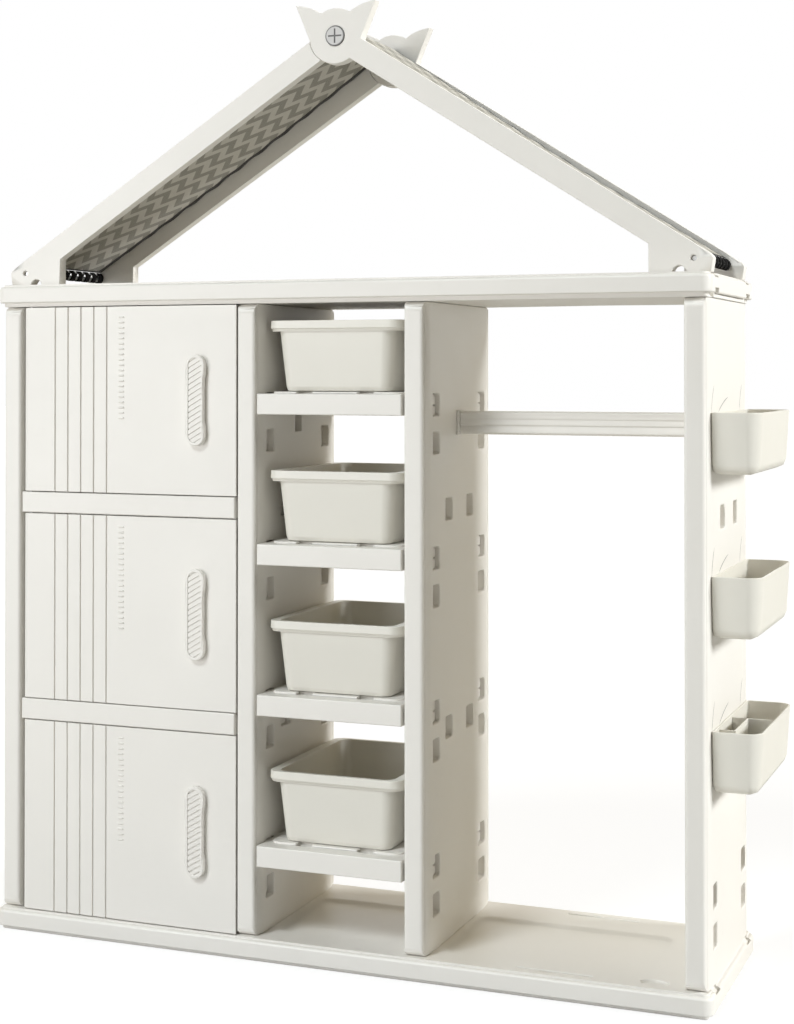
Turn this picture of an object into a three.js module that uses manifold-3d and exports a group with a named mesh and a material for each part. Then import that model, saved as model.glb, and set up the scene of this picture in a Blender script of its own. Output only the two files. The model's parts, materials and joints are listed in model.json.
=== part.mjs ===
// Children's wardrobe in moulded plastic: three door cupboards, a bay of pull-out bins, a hanging bay,
// three bins hooked on the right end and a house roof with a stretched cloth.
// Millimetres, +Z up. The origin is on the floor, under the centre of the base board.
// X runs along the front, -Y is the front, so a person opening the doors looks along +Y.

import * as THREE from 'three';
import { mergeVertices } from 'three/addons/utils/BufferGeometryUtils.js';
import Module from 'manifold-3d';

const wasm = await Module();
wasm.setup();

// Overall
const width = 1200;
const depth = 336;
const fit = 0.3;                       // gap between a piece and the one that carries it
const play = 1.5;                      // gap round a piece that moves

// Boards: the base and the top are the same moulding
const footHeight = 6.5;
const footInset = 8;
const slabHeight = 27;
const slabCorner = 15;
const slabFillet = 5;
const stepHeight = 3;
const stepInset = 7;
const boardHeight = footHeight + slabHeight + stepHeight;
const panDepth = 5;
const panSlope = 7;
const panCorner = 14;
const panFront = 54;                   // from the board's front to the pan's rim
const panRear = 86;                    // from the board's rear to the pan's rim
const panSideGap = 12;                 // from a partition's face to the pan's rim
const panEndGap = 62;                  // from an end panel's face to the pan's rim
const backSlotLength = 118;
const backSlotWidth = 5.6;
const backSlotInset = 26;              // slot's centre from the board's long edge
const thumbWidth = 42;
const thumbDepth = 24;
const thumbSink = 4.5;
const thumbFromFace = 46;              // centre of the thumb recess from the end panel's face
const thumbFromFront = 34;
const endNotchSize = 14;
const endNotchLength = 26;
const endNotchInset = 47;              // end notches from the board's front and rear

// Upright panels
const panelHeight = 997.5;
const panelThickness = 38;
const panelInset = 8;                  // front and rear edges behind the boards' edges
const panelCorner = 16;                // corners seen from the side
const postWidth = 31;
const postRound = 5.5;
const postDepth = 7;
const grooveDepth = 2.6;
const grooveWidth = 3;
const shoulderDepth = 20;
const endPanelInset = 26.5;            // end panel's centre from the board's end
const middleBay = 283;                 // one partition's centre to the other's
const tenonLength = 60;
const tenonWidth = 16;
const tenonHeight = 9;
const tenonOffset = 82;
const windowHeight = 35;
const edgeWindowWidth = 32;
const edgeWindowInset = 52;            // outer window columns from the panel's front and rear
const coreWindowWidth = 33;
const coreWindowOffset = 49.5;
const windowCorner = 4.5;
const pocketSink = 12;
const pocketDrop = 58.5;               // spare pockets below each row of windows

// Cupboards
const crossBarHeight = 34;
const lowCrossBar = 368;               // centre heights of the two cupboard shelves
const crossBarPitch = 342;
const backThickness = 5;
const doorThickness = 20;
const doorLip = 3.2;
const doorLipDepth = 3.5;
const lapCount = 5;
const firstLap = 60.7;                 // first lap line from the door's hinge edge
const lapPitch = 24.35;
const lapStep = 1;
const lapGroove = 1.4;                 // width of the groove along each lap
const lapGrooveDepth = 2.8;
const pinRadius = 3;
const pinReach = 7;                    // pin length inside the shelf or board at each end
const handleWidth = 33;
const handleHeight = 145;
const handleProud = 10;
const handleRim = 5;
const handleSink = 3;
const handleWaist = 2.4;               // how far the finger side draws in
const handleWaistHalf = 33;            // half the height of that part
const handleWaistSlope = 10;
const handleFromEdge = 69;             // handle's centre from the door's free edge
const catchLength = 14;
const catchWidth = 9;
const catchHeight = 22;

// Middle bay
const trayCount = 4;
const topTrayDrop = 159;               // centre of the highest tray shelf below the top board
const trayPitch = 237;
const trayHeight = 33;
const trayRear = 12;                   // shelf's rear edge in front of the panels' rear
const seatHeight = 3;
const seatInset = 12;
const seatFront = 26;
const seatNotchLength = 26;
const seatNotchWidth = 14;
const seatNotchDepth = 12;
const seatNotchOffset = 52;            // each notch's centre from the shelf's middle
const hookLength = 31;                 // how far a shelf hook reaches into the panel
const hookSlack = 2;                   // height that a hook leaves free in its window
const hookSplit = 1.6;                 // groove across the middle of a hook's end
const hookSplitDepth = 5;

// Bins of the middle bay
const binSideRoom = 9.5;               // from the rim to the partition on each side
const binFrontRoom = 18;               // from the shelf's front to the rim
const binRearRoom = 9;                 // from the rim to the shelf's rear
const binHeight = 112;
const binRimBand = 17;
const binSideRim = 20;
const binEndRim = 5;
const binWall = 2.6;
const binSideTaper = 12;
const binEndTaper = 10;
const binCorner = 26;
const binFootRound = 5;

// Hanging rail
const railDrop = 189;                  // rail's axis below the top board
const railHeight = 37;
const railDepth = 22;
const railGroove = 2.4;
const flangeThickness = 4;
const flangeWidth = 28;
const flangeHeight = 39.5;
const railWindowWidth = 24;
const railWindowHeight = 35;
const railPlug = pocketSink - 1;

// Side bins on the right end panel
const sideBinNames = ['side_bin_top', 'side_bin_middle', 'side_bin_bottom'];
const sideBinEndRoom = 32;             // from the boards' front and rear to the bin's ends
const sideBinReach = 72;
const sideBinHeight = 90;
const sideBinWall = 2.8;
const sideBinTaper = 5;
const sideBinCorner = 22;
const sideBinFootRound = 14;
const sideBinDrop = 8.2;               // rim below the middle of the tray shelf at its height
const lowBinRaise = 14;                // how much higher the lowest bin hangs than that
const hookWindowDrop = 8;              // top of the hook windows below the rim that hides them
const lugWidth = 26;
const lugHeight = 8;
const lugReach = 12;
const lugCorner = 3;
const sideBinLift = 24;
const dividerWall = 2;
const dividerDrop = 4;                 // divider's top below the rim
const dividerSpine = 23;               // lengthwise plate's distance from the bin's back wall
const dividerLength = 99;
const dividerEnd = 6;                  // cross plate's place along the bin

// Roof
const rafterWidth = 35.5;
const rafterThickness = 20;
const rafterInset = 36;                // outer faces of the frames from the boards' edges
const roofEndInset = 4;                // outer end of a foot from the board's end
const ridgeHeight = 1453.5;
const footEndHeight = 24.4;            // where the slope's upper line meets a foot's outer end
const footLength = 96;
const footCorner = 8;
const footUndercut = 3;
const footNotchRadius = 10;
const footNotchFromEnd = 50;
const footTenonLength = 30;
const footTenonWidth = 9;
const footTenonHeight = 5;
const discRadius = 44;
const earTipOut = 68.5;
const earTipUp = 52.5;
const earDipOut = 26;
const earDipUp = 38;
const earRootOut = 44;
const earRootUp = -6;
const tongueThickness = 7;
const tongueRadius = 17;
const screwHeadRadius = 16;
const screwHeadSink = 1.5;
const screwHeadHeight = 3;
const screwRadius = 4;
const screwLength = 44;
const crossWidth = 2.2;
const crossLength = 22;
const crossSink = 1.2;
const ridgeBarRadius = 17.5;
const ridgeBarWall = 3;
const plugLength = 26;
const eaveRodRadius = 4;
const eaveRodSink = 6;                 // rod ends behind the rafters' outer faces
const eaveFromEnd = 28.5;              // eave rod's axis from the outer end of a foot
const eaveRise = 21;                   // eave rod's axis above the top board
const clothThickness = 1.6;
const clothHemRise = 34.5;             // cloth's hem above the top board
const clothSag = 6;
const loopCount = 10;
const loopWidth = 15.5;
const loopThickness = 1.6;
const loopRise = 11.8;                 // top of the loops above the eave rod's axis
const tapeHeight = 4;                  // tape that carries the loops under the cloth's hem

// Lock bars in the riser of the top board
const lockBarLength = 240;
const lockBarHeight = 5;
const lockBarThickness = 5;
const lockBarProud = 2;                // how far it stands out of the riser
const lockBarRoom = 0.9;
const lockHookLength = 7;
const lockHookRise = 3;

// Places that follow from the sizes above
const sideBay = (width - middleBay) / 2 - endPanelInset;
const panelCentres = [
  -middleBay / 2 - sideBay,
  -middleBay / 2,
  middleBay / 2,
  middleBay / 2 + sideBay,
];
const panelDepth = depth - 2 * panelInset;
const frontY = -depth / 2;
const panelFrontY = frontY + panelInset;
const panelRearY = -panelFrontY;
const baseTop = boardHeight;
const topBoardZ = baseTop + panelHeight;
const roofBaseZ = topBoardZ + boardHeight;
const crossBarCentres = [lowCrossBar, lowCrossBar + crossBarPitch];
const trayCentres = Array.from({ length: trayCount }, (_, i) => topBoardZ - topTrayDrop - i * trayPitch);
const railLevel = topBoardZ - railDrop;
const backPanelY = depth / 2 - backSlotInset;
const halfPanel = panelThickness / 2;
const sideFaceX = panelCentres[3] + halfPanel;
const edgeWindowOffset = panelDepth / 2 - edgeWindowInset;
const sideBinRims = sideBinNames.map((name, i) => {
  const lowest = i === sideBinNames.length - 1;
  return trayCentres[i] - sideBinDrop + (lowest ? lowBinRaise : 0);
});
const hookWindowCentres = sideBinRims.map((rim) => rim - hookWindowDrop - windowHeight / 2);

// The slope runs from the ridge to the foot's outer end, with the rafter's half width square to it
const roofHalfSpan = width / 2 - roofEndInset;
const roofRise = ridgeHeight - roofBaseZ - footEndHeight;
const roofAngle = Math.atan2(roofRise, roofHalfSpan)
  + Math.asin(rafterWidth / 2 / Math.hypot(roofHalfSpan, roofRise));
const eaveHeight = roofBaseZ + eaveRise;
const clothHemHeight = roofBaseZ + clothHemRise;

// Colours and finishes
const finishes = {
  ivory: { color: 0xeeebe0, roughness: 0.45, metalness: 0 },
  bin: { color: 0xe6e3d4, roughness: 0.45, metalness: 0 },
  steel: { color: 0xb9bab8, roughness: 0.4, metalness: 0.7 },
  screw: { color: 0xb4b5b3, roughness: 0.4, metalness: 0 },
  cloth: { color: 0x86847a, roughness: 0.95, metalness: 0 },
  elastic: { color: 0x141412, roughness: 0.9, metalness: 0 },
};

const wardrobe = new THREE.Group();

function addPiece(name, finish, geometry) {
  const mesh = new THREE.Mesh(geometry, new THREE.MeshStandardMaterial({ ...finishes[finish] }));
  mesh.name = name;
  wardrobe.add(mesh);
  return mesh;
}

// Solids and geometries

function solidOf(geometry) {
  const bare = geometry.index ? geometry.toNonIndexed() : geometry.clone();
  bare.deleteAttribute('normal');
  bare.deleteAttribute('uv');
  const merged = mergeVertices(bare, 1e-4);
  return new wasm.Manifold(new wasm.Mesh({
    numProp: 3,
    vertProperties: new Float32Array(merged.attributes.position.array),
    triVerts: new Uint32Array(merged.index.array),
  }));
}

function geometryOf(solid) {
  const mesh = solid.getMesh();
  const geometry = new THREE.BufferGeometry();
  const places = new Float32Array(mesh.numVert * 3);
  for (let i = 0; i < mesh.numVert; i += 1) {
    for (let k = 0; k < 3; k += 1) {
      places[3 * i + k] = mesh.vertProperties[mesh.numProp * i + k];
    }
  }
  geometry.setAttribute('position', new THREE.BufferAttribute(places, 3));
  geometry.setIndex(new THREE.BufferAttribute(new Uint32Array(mesh.triVerts), 1));
  geometry.computeVertexNormals();
  return geometry;
}

function cut(geometry, cutters) {
  let solid = solidOf(geometry);
  for (const cutter of cutters) {
    solid = solid.subtract(solidOf(cutter));
  }
  return geometryOf(solid);
}

function join(geometries) {
  let solid = solidOf(geometries[0]);
  for (const other of geometries.slice(1)) {
    solid = solid.add(solidOf(other));
  }
  return geometryOf(solid);
}

function box(x0, x1, y0, y1, z0, z1) {
  const geometry = new THREE.BoxGeometry(x1 - x0, y1 - y0, z1 - z0);
  geometry.translate((x0 + x1) / 2, (y0 + y1) / 2, (z0 + z1) / 2);
  return geometry;
}

function centredBox(x, y, z, dx, dy, dz) {
  return box(x - dx / 2, x + dx / 2, y - dy / 2, y + dy / 2, z - dz / 2, z + dz / 2);
}

function cylinderX(x0, x1, y, z, radius, sides = 12) {
  const geometry = new THREE.CylinderGeometry(radius, radius, x1 - x0, sides);
  geometry.rotateZ(Math.PI / 2);
  geometry.translate((x0 + x1) / 2, y, z);
  return geometry;
}

function cylinderY(x, y0, y1, z, radius, sides = 12) {
  const geometry = new THREE.CylinderGeometry(radius, radius, y1 - y0, sides);
  geometry.translate(x, (y0 + y1) / 2, z);
  return geometry;
}

function cylinderZ(x, y, z0, z1, radius, sides = 12) {
  const geometry = new THREE.CylinderGeometry(radius, radius, z1 - z0, sides);
  geometry.rotateX(Math.PI / 2);
  geometry.translate(x, y, (z0 + z1) / 2);
  return geometry;
}

// A rounded rectangle as a ring of points, corner by corner, anticlockwise from the front right
function roundedRing(x0, x1, y0, y1, radius, z, steps = 4) {
  const ring = [];
  const corners = [
    [x1 - radius, y0 + radius, -Math.PI / 2],
    [x1 - radius, y1 - radius, 0],
    [x0 + radius, y1 - radius, Math.PI / 2],
    [x0 + radius, y0 + radius, Math.PI],
  ];
  for (const [cx, cy, start] of corners) {
    for (let i = 0; i <= steps; i += 1) {
      const angle = start + (Math.PI / 2) * (i / steps);
      ring.push([cx + radius * Math.cos(angle), cy + radius * Math.sin(angle), z]);
    }
  }
  return ring;
}

// A closed skin through rings of equal count, capped at the first and the last ring
function skin(rings) {
  const count = rings[0].length;
  const points = rings.flat();
  const faces = [];
  for (let r = 0; r < rings.length - 1; r += 1) {
    for (let i = 0; i < count; i += 1) {
      const a = r * count + i;
      const b = r * count + ((i + 1) % count);
      faces.push(a, b, b + count, a, b + count, a + count);
    }
  }
  const last = (rings.length - 1) * count;
  for (let i = 1; i < count - 1; i += 1) {
    faces.push(0, i + 1, i);
    faces.push(last, last + i, last + i + 1);
  }
  const geometry = new THREE.BufferGeometry();
  geometry.setAttribute('position', new THREE.Float32BufferAttribute(points.flat(), 3));
  geometry.setIndex(faces);
  const flat = geometry.toNonIndexed();
  flat.computeVertexNormals();
  return flat;
}

// An outline in X and Y, raised from z0 to z1
function raise(points, z0, z1) {
  const shape = new THREE.Shape(points.map(([x, y]) => new THREE.Vector2(x, y)));
  const geometry = new THREE.ExtrudeGeometry(shape, { depth: z1 - z0, bevelEnabled: false });
  geometry.translate(0, 0, z0);
  return geometry;
}

// A shape drawn in X and Z as seen from the front, with its depth from y0 to y1
function standing(shape, y0, y1, curveSegments = 8) {
  const geometry = new THREE.ExtrudeGeometry(shape, { depth: y1 - y0, bevelEnabled: false, curveSegments });
  geometry.rotateX(Math.PI / 2);
  geometry.translate(0, y1, 0);
  return geometry;
}

// Boards

function boardBlank(z) {
  const fullX = width / 2;
  const fullY = depth / 2;
  const ring = (inset, height) => roundedRing(
    -fullX + inset, fullX - inset, -fullY + inset, fullY - inset, Math.max(slabCorner - inset, 3), z + height,
  );
  const slabTop = footHeight + slabHeight;
  const halfFillet = slabFillet * (1 - Math.SQRT1_2);
  return skin([
    ring(footInset, 0),
    ring(footInset, footHeight),
    ring(halfFillet, footHeight),
    ring(0, footHeight + halfFillet),
    ring(0, slabTop - slabFillet),
    ring(halfFillet, slabTop - halfFillet),
    ring(slabFillet, slabTop),
    ring(stepInset, slabTop),
    ring(stepInset, slabTop + stepHeight),
  ]);
}

function panCutter(x0, x1, z) {
  const y0 = frontY + panFront;
  const y1 = -frontY - panRear;
  return skin([
    roundedRing(x0 + panSlope, x1 - panSlope, y0 + panSlope, y1 - panSlope, panCorner, z - panDepth, 3),
    roundedRing(x0, x1, y0, y1, panCorner + panSlope, z, 3),
    roundedRing(x0, x1, y0, y1, panCorner + panSlope, z + 1, 3),
  ]);
}

function tenonSpots() {
  const spots = [];
  for (const x of panelCentres) {
    for (const side of [-1, 1]) {
      spots.push([x, side * tenonOffset]);
    }
  }
  return spots;
}

function tenonSockets(z0, z1) {
  return tenonSpots().map(([x, y]) => box(
    x - tenonWidth / 2 - fit, x + tenonWidth / 2 + fit,
    y - tenonLength / 2 - fit, y + tenonLength / 2 + fit, z0, z1,
  ));
}

function backSlot(x, y, z) {
  return centredBox(x, y, z, backSlotLength, backSlotWidth, 2 * tenonHeight);
}

// A notch across the end edge of a board, open to the end and to the face at the given height
function endNotch(side, edge, z) {
  const notch = centredBox(0, 0, 0, endNotchSize, endNotchLength, endNotchSize);
  notch.rotateY(Math.PI / 4);
  notch.translate(side * (width / 2 - stepInset / 2), edge * (depth / 2 - endNotchInset), z);
  return notch;
}

function boardCutters(topZ, loose) {
  const bayCentre = (panelCentres[2] + panelCentres[3]) / 2;
  const innerFace = panelCentres[2] + halfPanel;
  const outerFace = panelCentres[3] - halfPanel;
  const cutters = [
    panCutter(-middleBay / 2 + halfPanel + panSideGap, middleBay / 2 - halfPanel - panSideGap, topZ),
  ];
  for (const side of [-1, 1]) {
    const ends = [side * (innerFace + panSideGap), side * (outerFace - panEndGap)];
    cutters.push(panCutter(Math.min(...ends), Math.max(...ends), topZ));
    if (loose) {
      const thumb = cylinderZ(0, 0, topZ - thumbSink, topZ + 1, thumbWidth / 2, 12);
      thumb.scale(1, thumbDepth / thumbWidth, 1);
      thumb.translate(side * (outerFace - thumbFromFace), frontY + thumbFromFront, 0);
      cutters.push(thumb);
    }
    for (const edge of [-1, 1]) {
      cutters.push(backSlot(side * bayCentre, edge * backPanelY, topZ));
      cutters.push(endNotch(side, edge, topZ));
    }
  }
  return cutters;
}

function hingePinX() {
  return panelCentres[0] + halfPanel + 2 + doorThickness / 2;
}

const doorFrontY = panelFrontY;
const pinY = doorFrontY + doorThickness / 2;

function pinSocket(z0, z1) {
  return cylinderZ(hingePinX(), pinY, z0, z1, pinRadius + fit + 0.1);
}

function makeBase() {
  const cutters = [
    ...boardCutters(baseTop, true),
    ...tenonSockets(baseTop - tenonHeight - fit, baseTop + 1),
    pinSocket(baseTop - pinReach - 1, baseTop + 1),
  ];
  addPiece('base_board', 'ivory', cut(boardBlank(0), cutters));
}

function lockBarOutline(grow) {
  const half = lockBarLength / 2 + grow;
  const top = lockBarHeight + grow;
  const inner = half - lockHookLength - 2 * grow;
  const peak = top + lockHookRise;
  return [
    [-half, -grow], [half, -grow], [half, peak], [inner, peak], [inner, top],
    [-inner, top], [-inner, peak], [-half, peak],
  ];
}

function lockBar(side, grow, back) {
  const outer = side * (width / 2 - footInset + lockBarProud);
  const inner = outer - side * (lockBarThickness + back);
  const shape = new THREE.Shape(lockBarOutline(grow).map(([y, z]) => new THREE.Vector2(y, z)));
  const geometry = new THREE.ExtrudeGeometry(shape, { depth: Math.abs(outer - inner), bevelEnabled: false });
  geometry.rotateX(Math.PI / 2);
  geometry.rotateZ(Math.PI / 2);
  geometry.translate(Math.min(outer, inner), 0, topBoardZ + fit);
  return geometry;
}

function footTenonSpots() {
  const spots = [];
  for (const side of [-1, 1]) {
    for (const edge of [-1, 1]) {
      spots.push([side * (roofHalfSpan - footLength + footTenonLength / 2 + 4),
        edge * (depth / 2 - rafterInset - rafterThickness / 2)]);
    }
  }
  return spots;
}

function makeTop() {
  const cutters = [
    ...boardCutters(roofBaseZ, false),
    ...tenonSockets(topBoardZ - 1, topBoardZ + tenonHeight + fit),
    pinSocket(topBoardZ - 1, topBoardZ + pinReach + 1),
    backSlot((panelCentres[0] + panelCentres[1]) / 2, backPanelY, topBoardZ),
  ];
  for (const [x, y] of footTenonSpots()) {
    cutters.push(centredBox(
      x, y, roofBaseZ, footTenonLength + 2 * fit, footTenonWidth + 2 * fit, 2 * (footTenonHeight + fit),
    ));
  }
  for (const side of [-1, 1]) {
    const recess = lockBar(side, lockBarRoom, fit);
    const mouth = lockBar(side, lockBarRoom, fit);
    mouth.translate(side * lockBarThickness, 0, 0);
    cutters.push(recess, mouth);
    for (const edge of [-1, 1]) {
      cutters.push(endNotch(side, edge, topBoardZ + footHeight));
    }
  }
  addPiece('top_board', 'ivory', cut(boardBlank(topBoardZ), cutters));
}

function makeLockBars() {
  addPiece('lock_bar_left', 'ivory', lockBar(-1, 0, 0));
  addPiece('lock_bar_right', 'ivory', lockBar(1, 0, 0));
}

// Upright panels

function panelOutline(x) {
  const halfPost = postWidth / 2;
  const grooveStart = postDepth;
  const grooveEnd = postDepth + grooveWidth;
  const postArc = [0, 1, 2, 3].map((i) => {
    const angle = (Math.PI / 6) * i;
    return [halfPost - postRound + postRound * Math.sin(angle), postRound - postRound * Math.cos(angle)];
  });
  const side = [
    ...postArc,
    [halfPost, grooveStart],
    [halfPost - grooveDepth, (grooveStart + grooveEnd) / 2],
    [halfPost, grooveEnd],
    ...[0.12, 0.3, 0.6, 1].map((share) => [
      halfPost + (halfPanel - halfPost) * (1 - (1 - share) ** 2), grooveEnd + shoulderDepth * share,
    ]),
  ];
  const right = side.map(([u, v]) => [x + u, panelFrontY + v]);
  const rightRear = side.map(([u, v]) => [x + u, panelRearY - v]).reverse();
  const leftRear = side.map(([u, v]) => [x - u, panelRearY - v]);
  const left = side.map(([u, v]) => [x - u, panelFrontY + v]).reverse();
  return [...right, ...rightRear, ...leftRear, ...left];
}

// A block along X, with the four corners of its section rounded
function roundedBlock(x0, x1, y0, y1, z0, z1, radius) {
  const ring = (x) => roundedRing(y0, y1, z0, z1, radius, 0, 2).map(([y, z]) => [x, y, z]);
  return skin([ring(x0), ring(x1)]);
}

function windowBlock(x, y, z, reach, wide, high) {
  return roundedBlock(
    x - reach, x + reach, y - wide / 2, y + wide / 2, z - high / 2, z + high / 2, windowCorner,
  );
}

function openWindow(x, y, z, wide, high) {
  return windowBlock(x, y, z, halfPanel + 2, wide, high);
}

function pockets(x, y, z, wide, high) {
  return [-1, 1].map((side) => windowBlock(x + side * halfPanel, y, z, pocketSink, wide, high));
}

function railPockets(x) {
  return [-1, 1].map((side) => centredBox(
    x + side * halfPanel, 0, railLevel, 2 * pocketSink, railWindowWidth, railWindowHeight,
  ));
}

// A window is open right through where hooks use it, and elsewhere it is a pocket in both faces
function windowCutters(open, x, y, z, wide, high) {
  return open ? [openWindow(x, y, z, wide, high)] : pockets(x, y, z, wide, high);
}

// On the right end panel the rows with a hooked bin have only the windows that the bin hides
function panelCutters(x, trayHooks, shelfHooks) {
  const cutters = railPockets(x);
  const carriesBins = x === panelCentres[3];
  for (const side of [-1, 1]) {
    const edgeY = side * edgeWindowOffset;
    const coreY = side * coreWindowOffset;
    trayCentres.forEach((z, i) => {
      if (carriesBins && i < hookWindowCentres.length) {
        cutters.push(openWindow(x, edgeY, hookWindowCentres[i], edgeWindowWidth, windowHeight));
        return;
      }
      cutters.push(...windowCutters(trayHooks, x, edgeY, z, edgeWindowWidth, windowHeight));
      cutters.push(...pockets(x, edgeY, z - pocketDrop, edgeWindowWidth, windowHeight));
    });
    for (const z of crossBarCentres) {
      cutters.push(...windowCutters(shelfHooks, x, coreY, z, coreWindowWidth, windowHeight));
    }
  }
  return cutters;
}

function tenonsOf(x) {
  const tenons = [];
  for (const side of [-1, 1]) {
    const y = side * tenonOffset;
    tenons.push(box(
      x - tenonWidth / 2, x + tenonWidth / 2, y - tenonLength / 2, y + tenonLength / 2,
      baseTop - tenonHeight, topBoardZ + tenonHeight,
    ));
  }
  return tenons;
}

// The panel's outline from the side, with its four corners rounded
function panelSideForm(x) {
  const ring = (inset) => roundedRing(
    panelFrontY, panelRearY, baseTop + fit, topBoardZ - fit, panelCorner, inset, 4,
  ).map(([y, z, across]) => [x + across, y, z]);
  return skin([ring(-halfPanel - 1), ring(halfPanel + 1)]);
}

function makePanel(name, x, trayHooks, shelfHooks) {
  const blank = raise(panelOutline(x), baseTop + fit, topBoardZ - fit);
  const rounded = geometryOf(solidOf(blank).intersect(solidOf(panelSideForm(x))));
  const cutters = panelCutters(x, trayHooks, shelfHooks);
  addPiece(name, 'ivory', cut(join([rounded, ...tenonsOf(x)]), cutters));
}

// Cupboards

// A shelf's two hooks in the windows of the panel on each side, at the offsets given
function hooksOf([left, right], offset, wide, z) {
  const hooks = [];
  for (const [faceX, side] of [[left, -1], [right, 1]]) {
    const root = faceX - side;
    const tip = faceX + side * hookLength;
    for (const y of [-offset, offset]) {
      hooks.push(roundedBlock(
        Math.min(root, tip), Math.max(root, tip), y - wide / 2 + 1, y + wide / 2 - 1,
        z - windowHeight / 2 + fit, z + windowHeight / 2 - hookSlack, windowCorner,
      ));
    }
  }
  return hooks;
}

// The groove that splits the end of each hook
function hookSplits([left, right], offset, wide, z) {
  const splits = [];
  for (const tip of [left - hookLength, right + hookLength]) {
    for (const y of [-offset, offset]) {
      splits.push(centredBox(tip, y, z - hookSlack / 2, 2 * hookSplitDepth, wide, hookSplit));
    }
  }
  return splits;
}

const cupboardLeft = panelCentres[0] + halfPanel;
const cupboardRight = panelCentres[1] - halfPanel;

function makeCupboardShelf(name, z) {
  const body = box(
    cupboardLeft + fit, cupboardRight - fit, panelFrontY, panelRearY - postDepth,
    z - crossBarHeight / 2, z + crossBarHeight / 2,
  );
  const faces = [cupboardLeft, cupboardRight];
  const hooks = hooksOf(faces, coreWindowOffset, coreWindowWidth, z);
  const half = crossBarHeight / 2;
  const cutters = [
    ...hookSplits(faces, coreWindowOffset, coreWindowWidth, z),
    pinSocket(z - half - 1, z - half + pinReach + 1),
    pinSocket(z + half - pinReach - 1, z + half + 1),
  ];
  addPiece(name, 'ivory', cut(join([body, ...hooks]), cutters));
}

// Each cupboard's clear height, from the shelf or board below to the one above
const cupboardSpans = [
  [baseTop, crossBarCentres[0] - crossBarHeight / 2],
  [crossBarCentres[0] + crossBarHeight / 2, crossBarCentres[1] - crossBarHeight / 2],
  [crossBarCentres[1] + crossBarHeight / 2, topBoardZ],
];

function makeBackPanel(name, [z0, z1], lowTongue, highTongue) {
  const plate = box(
    cupboardLeft + fit, cupboardRight - fit, backPanelY - backThickness / 2, backPanelY + backThickness / 2,
    z0 + fit, z1 - fit,
  );
  const x = (panelCentres[0] + panelCentres[1]) / 2;
  const tongue = (z) => centredBox(
    x, backPanelY, z, backSlotLength - 2 * fit, backThickness, 2 * (tenonHeight - 2 * fit),
  );
  const parts = [plate];
  if (lowTongue) parts.push(tongue(z0));
  if (highTongue) parts.push(tongue(z1));
  addPiece(name, 'ivory', parts.length > 1 ? join(parts) : plate);
}

function doorOutline() {
  const pinX = hingePinX();
  const half = doorThickness / 2;
  const points = [];
  const roundSteps = 8;
  for (let i = 0; i <= roundSteps; i += 1) {
    const angle = Math.PI / 2 + Math.PI * (i / roundSteps);
    points.push([pinX + half * Math.cos(angle), pinY + half * Math.sin(angle)]);
  }
  const hingeEdge = pinX - half;
  for (let i = 0; i < lapCount; i += 1) {
    const x = hingeEdge + firstLap + i * lapPitch;
    points.push([x, doorFrontY]);
    points.push([x + lapGroove * 0.2, doorFrontY + lapGrooveDepth]);
    points.push([x + lapGroove * 0.8, doorFrontY + lapGrooveDepth]);
    points.push([x + lapGroove, doorFrontY + lapStep]);
  }
  const lastLap = hingeEdge + firstLap + lapCount * lapPitch;
  const freeEdge = cupboardRight - 1;
  points.push([lastLap, doorFrontY]);
  points.push([freeEdge + doorLip, doorFrontY]);
  points.push([freeEdge + doorLip, doorFrontY + doorLipDepth]);
  points.push([freeEdge, doorFrontY + doorLipDepth]);
  points.push([freeEdge, doorFrontY + doorThickness]);
  return points;
}

function makeDoor(place, [z0, z1]) {
  const low = z0 + play;
  const high = z1 - play;
  const blank = raise(doorOutline(), low, high);
  const bore = cylinderZ(hingePinX(), pinY, low - 1, high + 1, pinRadius + fit);
  addPiece(`door_${place}`, 'ivory', cut(blank, [bore]));
  const pin = cylinderZ(hingePinX(), pinY, z0 - pinReach, z1 + pinReach, pinRadius);
  addPiece(`hinge_pin_${place}`, 'steel', pin);
  const freeEdge = cupboardRight - 1 + doorLip;
  makeHandle(`handle_${place}`, freeEdge - handleFromEdge, (low + high) / 2);
}

function stadiumShape(wide, high) {
  const radius = wide / 2;
  const straight = high / 2 - radius;
  const shape = new THREE.Shape();
  shape.absarc(0, straight, radius, 0, Math.PI, false);
  shape.absarc(0, -straight, radius, Math.PI, 2 * Math.PI, false);
  shape.closePath();
  return shape;
}

// The handle's outline, with the side away from the hinge drawn in for the fingers
function handleShape() {
  const radius = handleWidth / 2;
  const straight = handleHeight / 2 - radius;
  const shape = new THREE.Shape();
  shape.absarc(0, straight, radius, 0, Math.PI, false);
  shape.absarc(0, -straight, radius, Math.PI, 2 * Math.PI, false);
  shape.lineTo(radius, -handleWaistHalf - handleWaistSlope);
  shape.lineTo(radius - handleWaist, -handleWaistHalf);
  shape.lineTo(radius - handleWaist, handleWaistHalf);
  shape.lineTo(radius, handleWaistHalf + handleWaistSlope);
  shape.closePath();
  return shape;
}

function makeHandle(name, x, z) {
  const back = doorFrontY - fit;
  const front = doorFrontY - handleProud;
  const body = standing(handleShape(), front, back, 8);
  const sinkWide = handleWidth - 2 * handleRim;
  const sink = standing(stadiumShape(sinkWide, handleHeight - 2 * handleRim), front - 1, front + handleSink, 8);
  const geometry = cut(body, [sink]);
  geometry.translate(x, 0, z);
  addPiece(name, 'ivory', geometry);
}

function makeCatch(place, [z0, z1]) {
  addPiece(`door_catch_${place}`, 'ivory', centredBox(
    cupboardRight - fit - catchWidth / 2, doorFrontY + doorThickness + play + catchLength / 2, (z0 + z1) / 2,
    catchWidth, catchLength, catchHeight,
  ));
}

// Middle bay

const bayLeft = panelCentres[1] + halfPanel;
const bayRight = panelCentres[2] - halfPanel;

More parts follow.
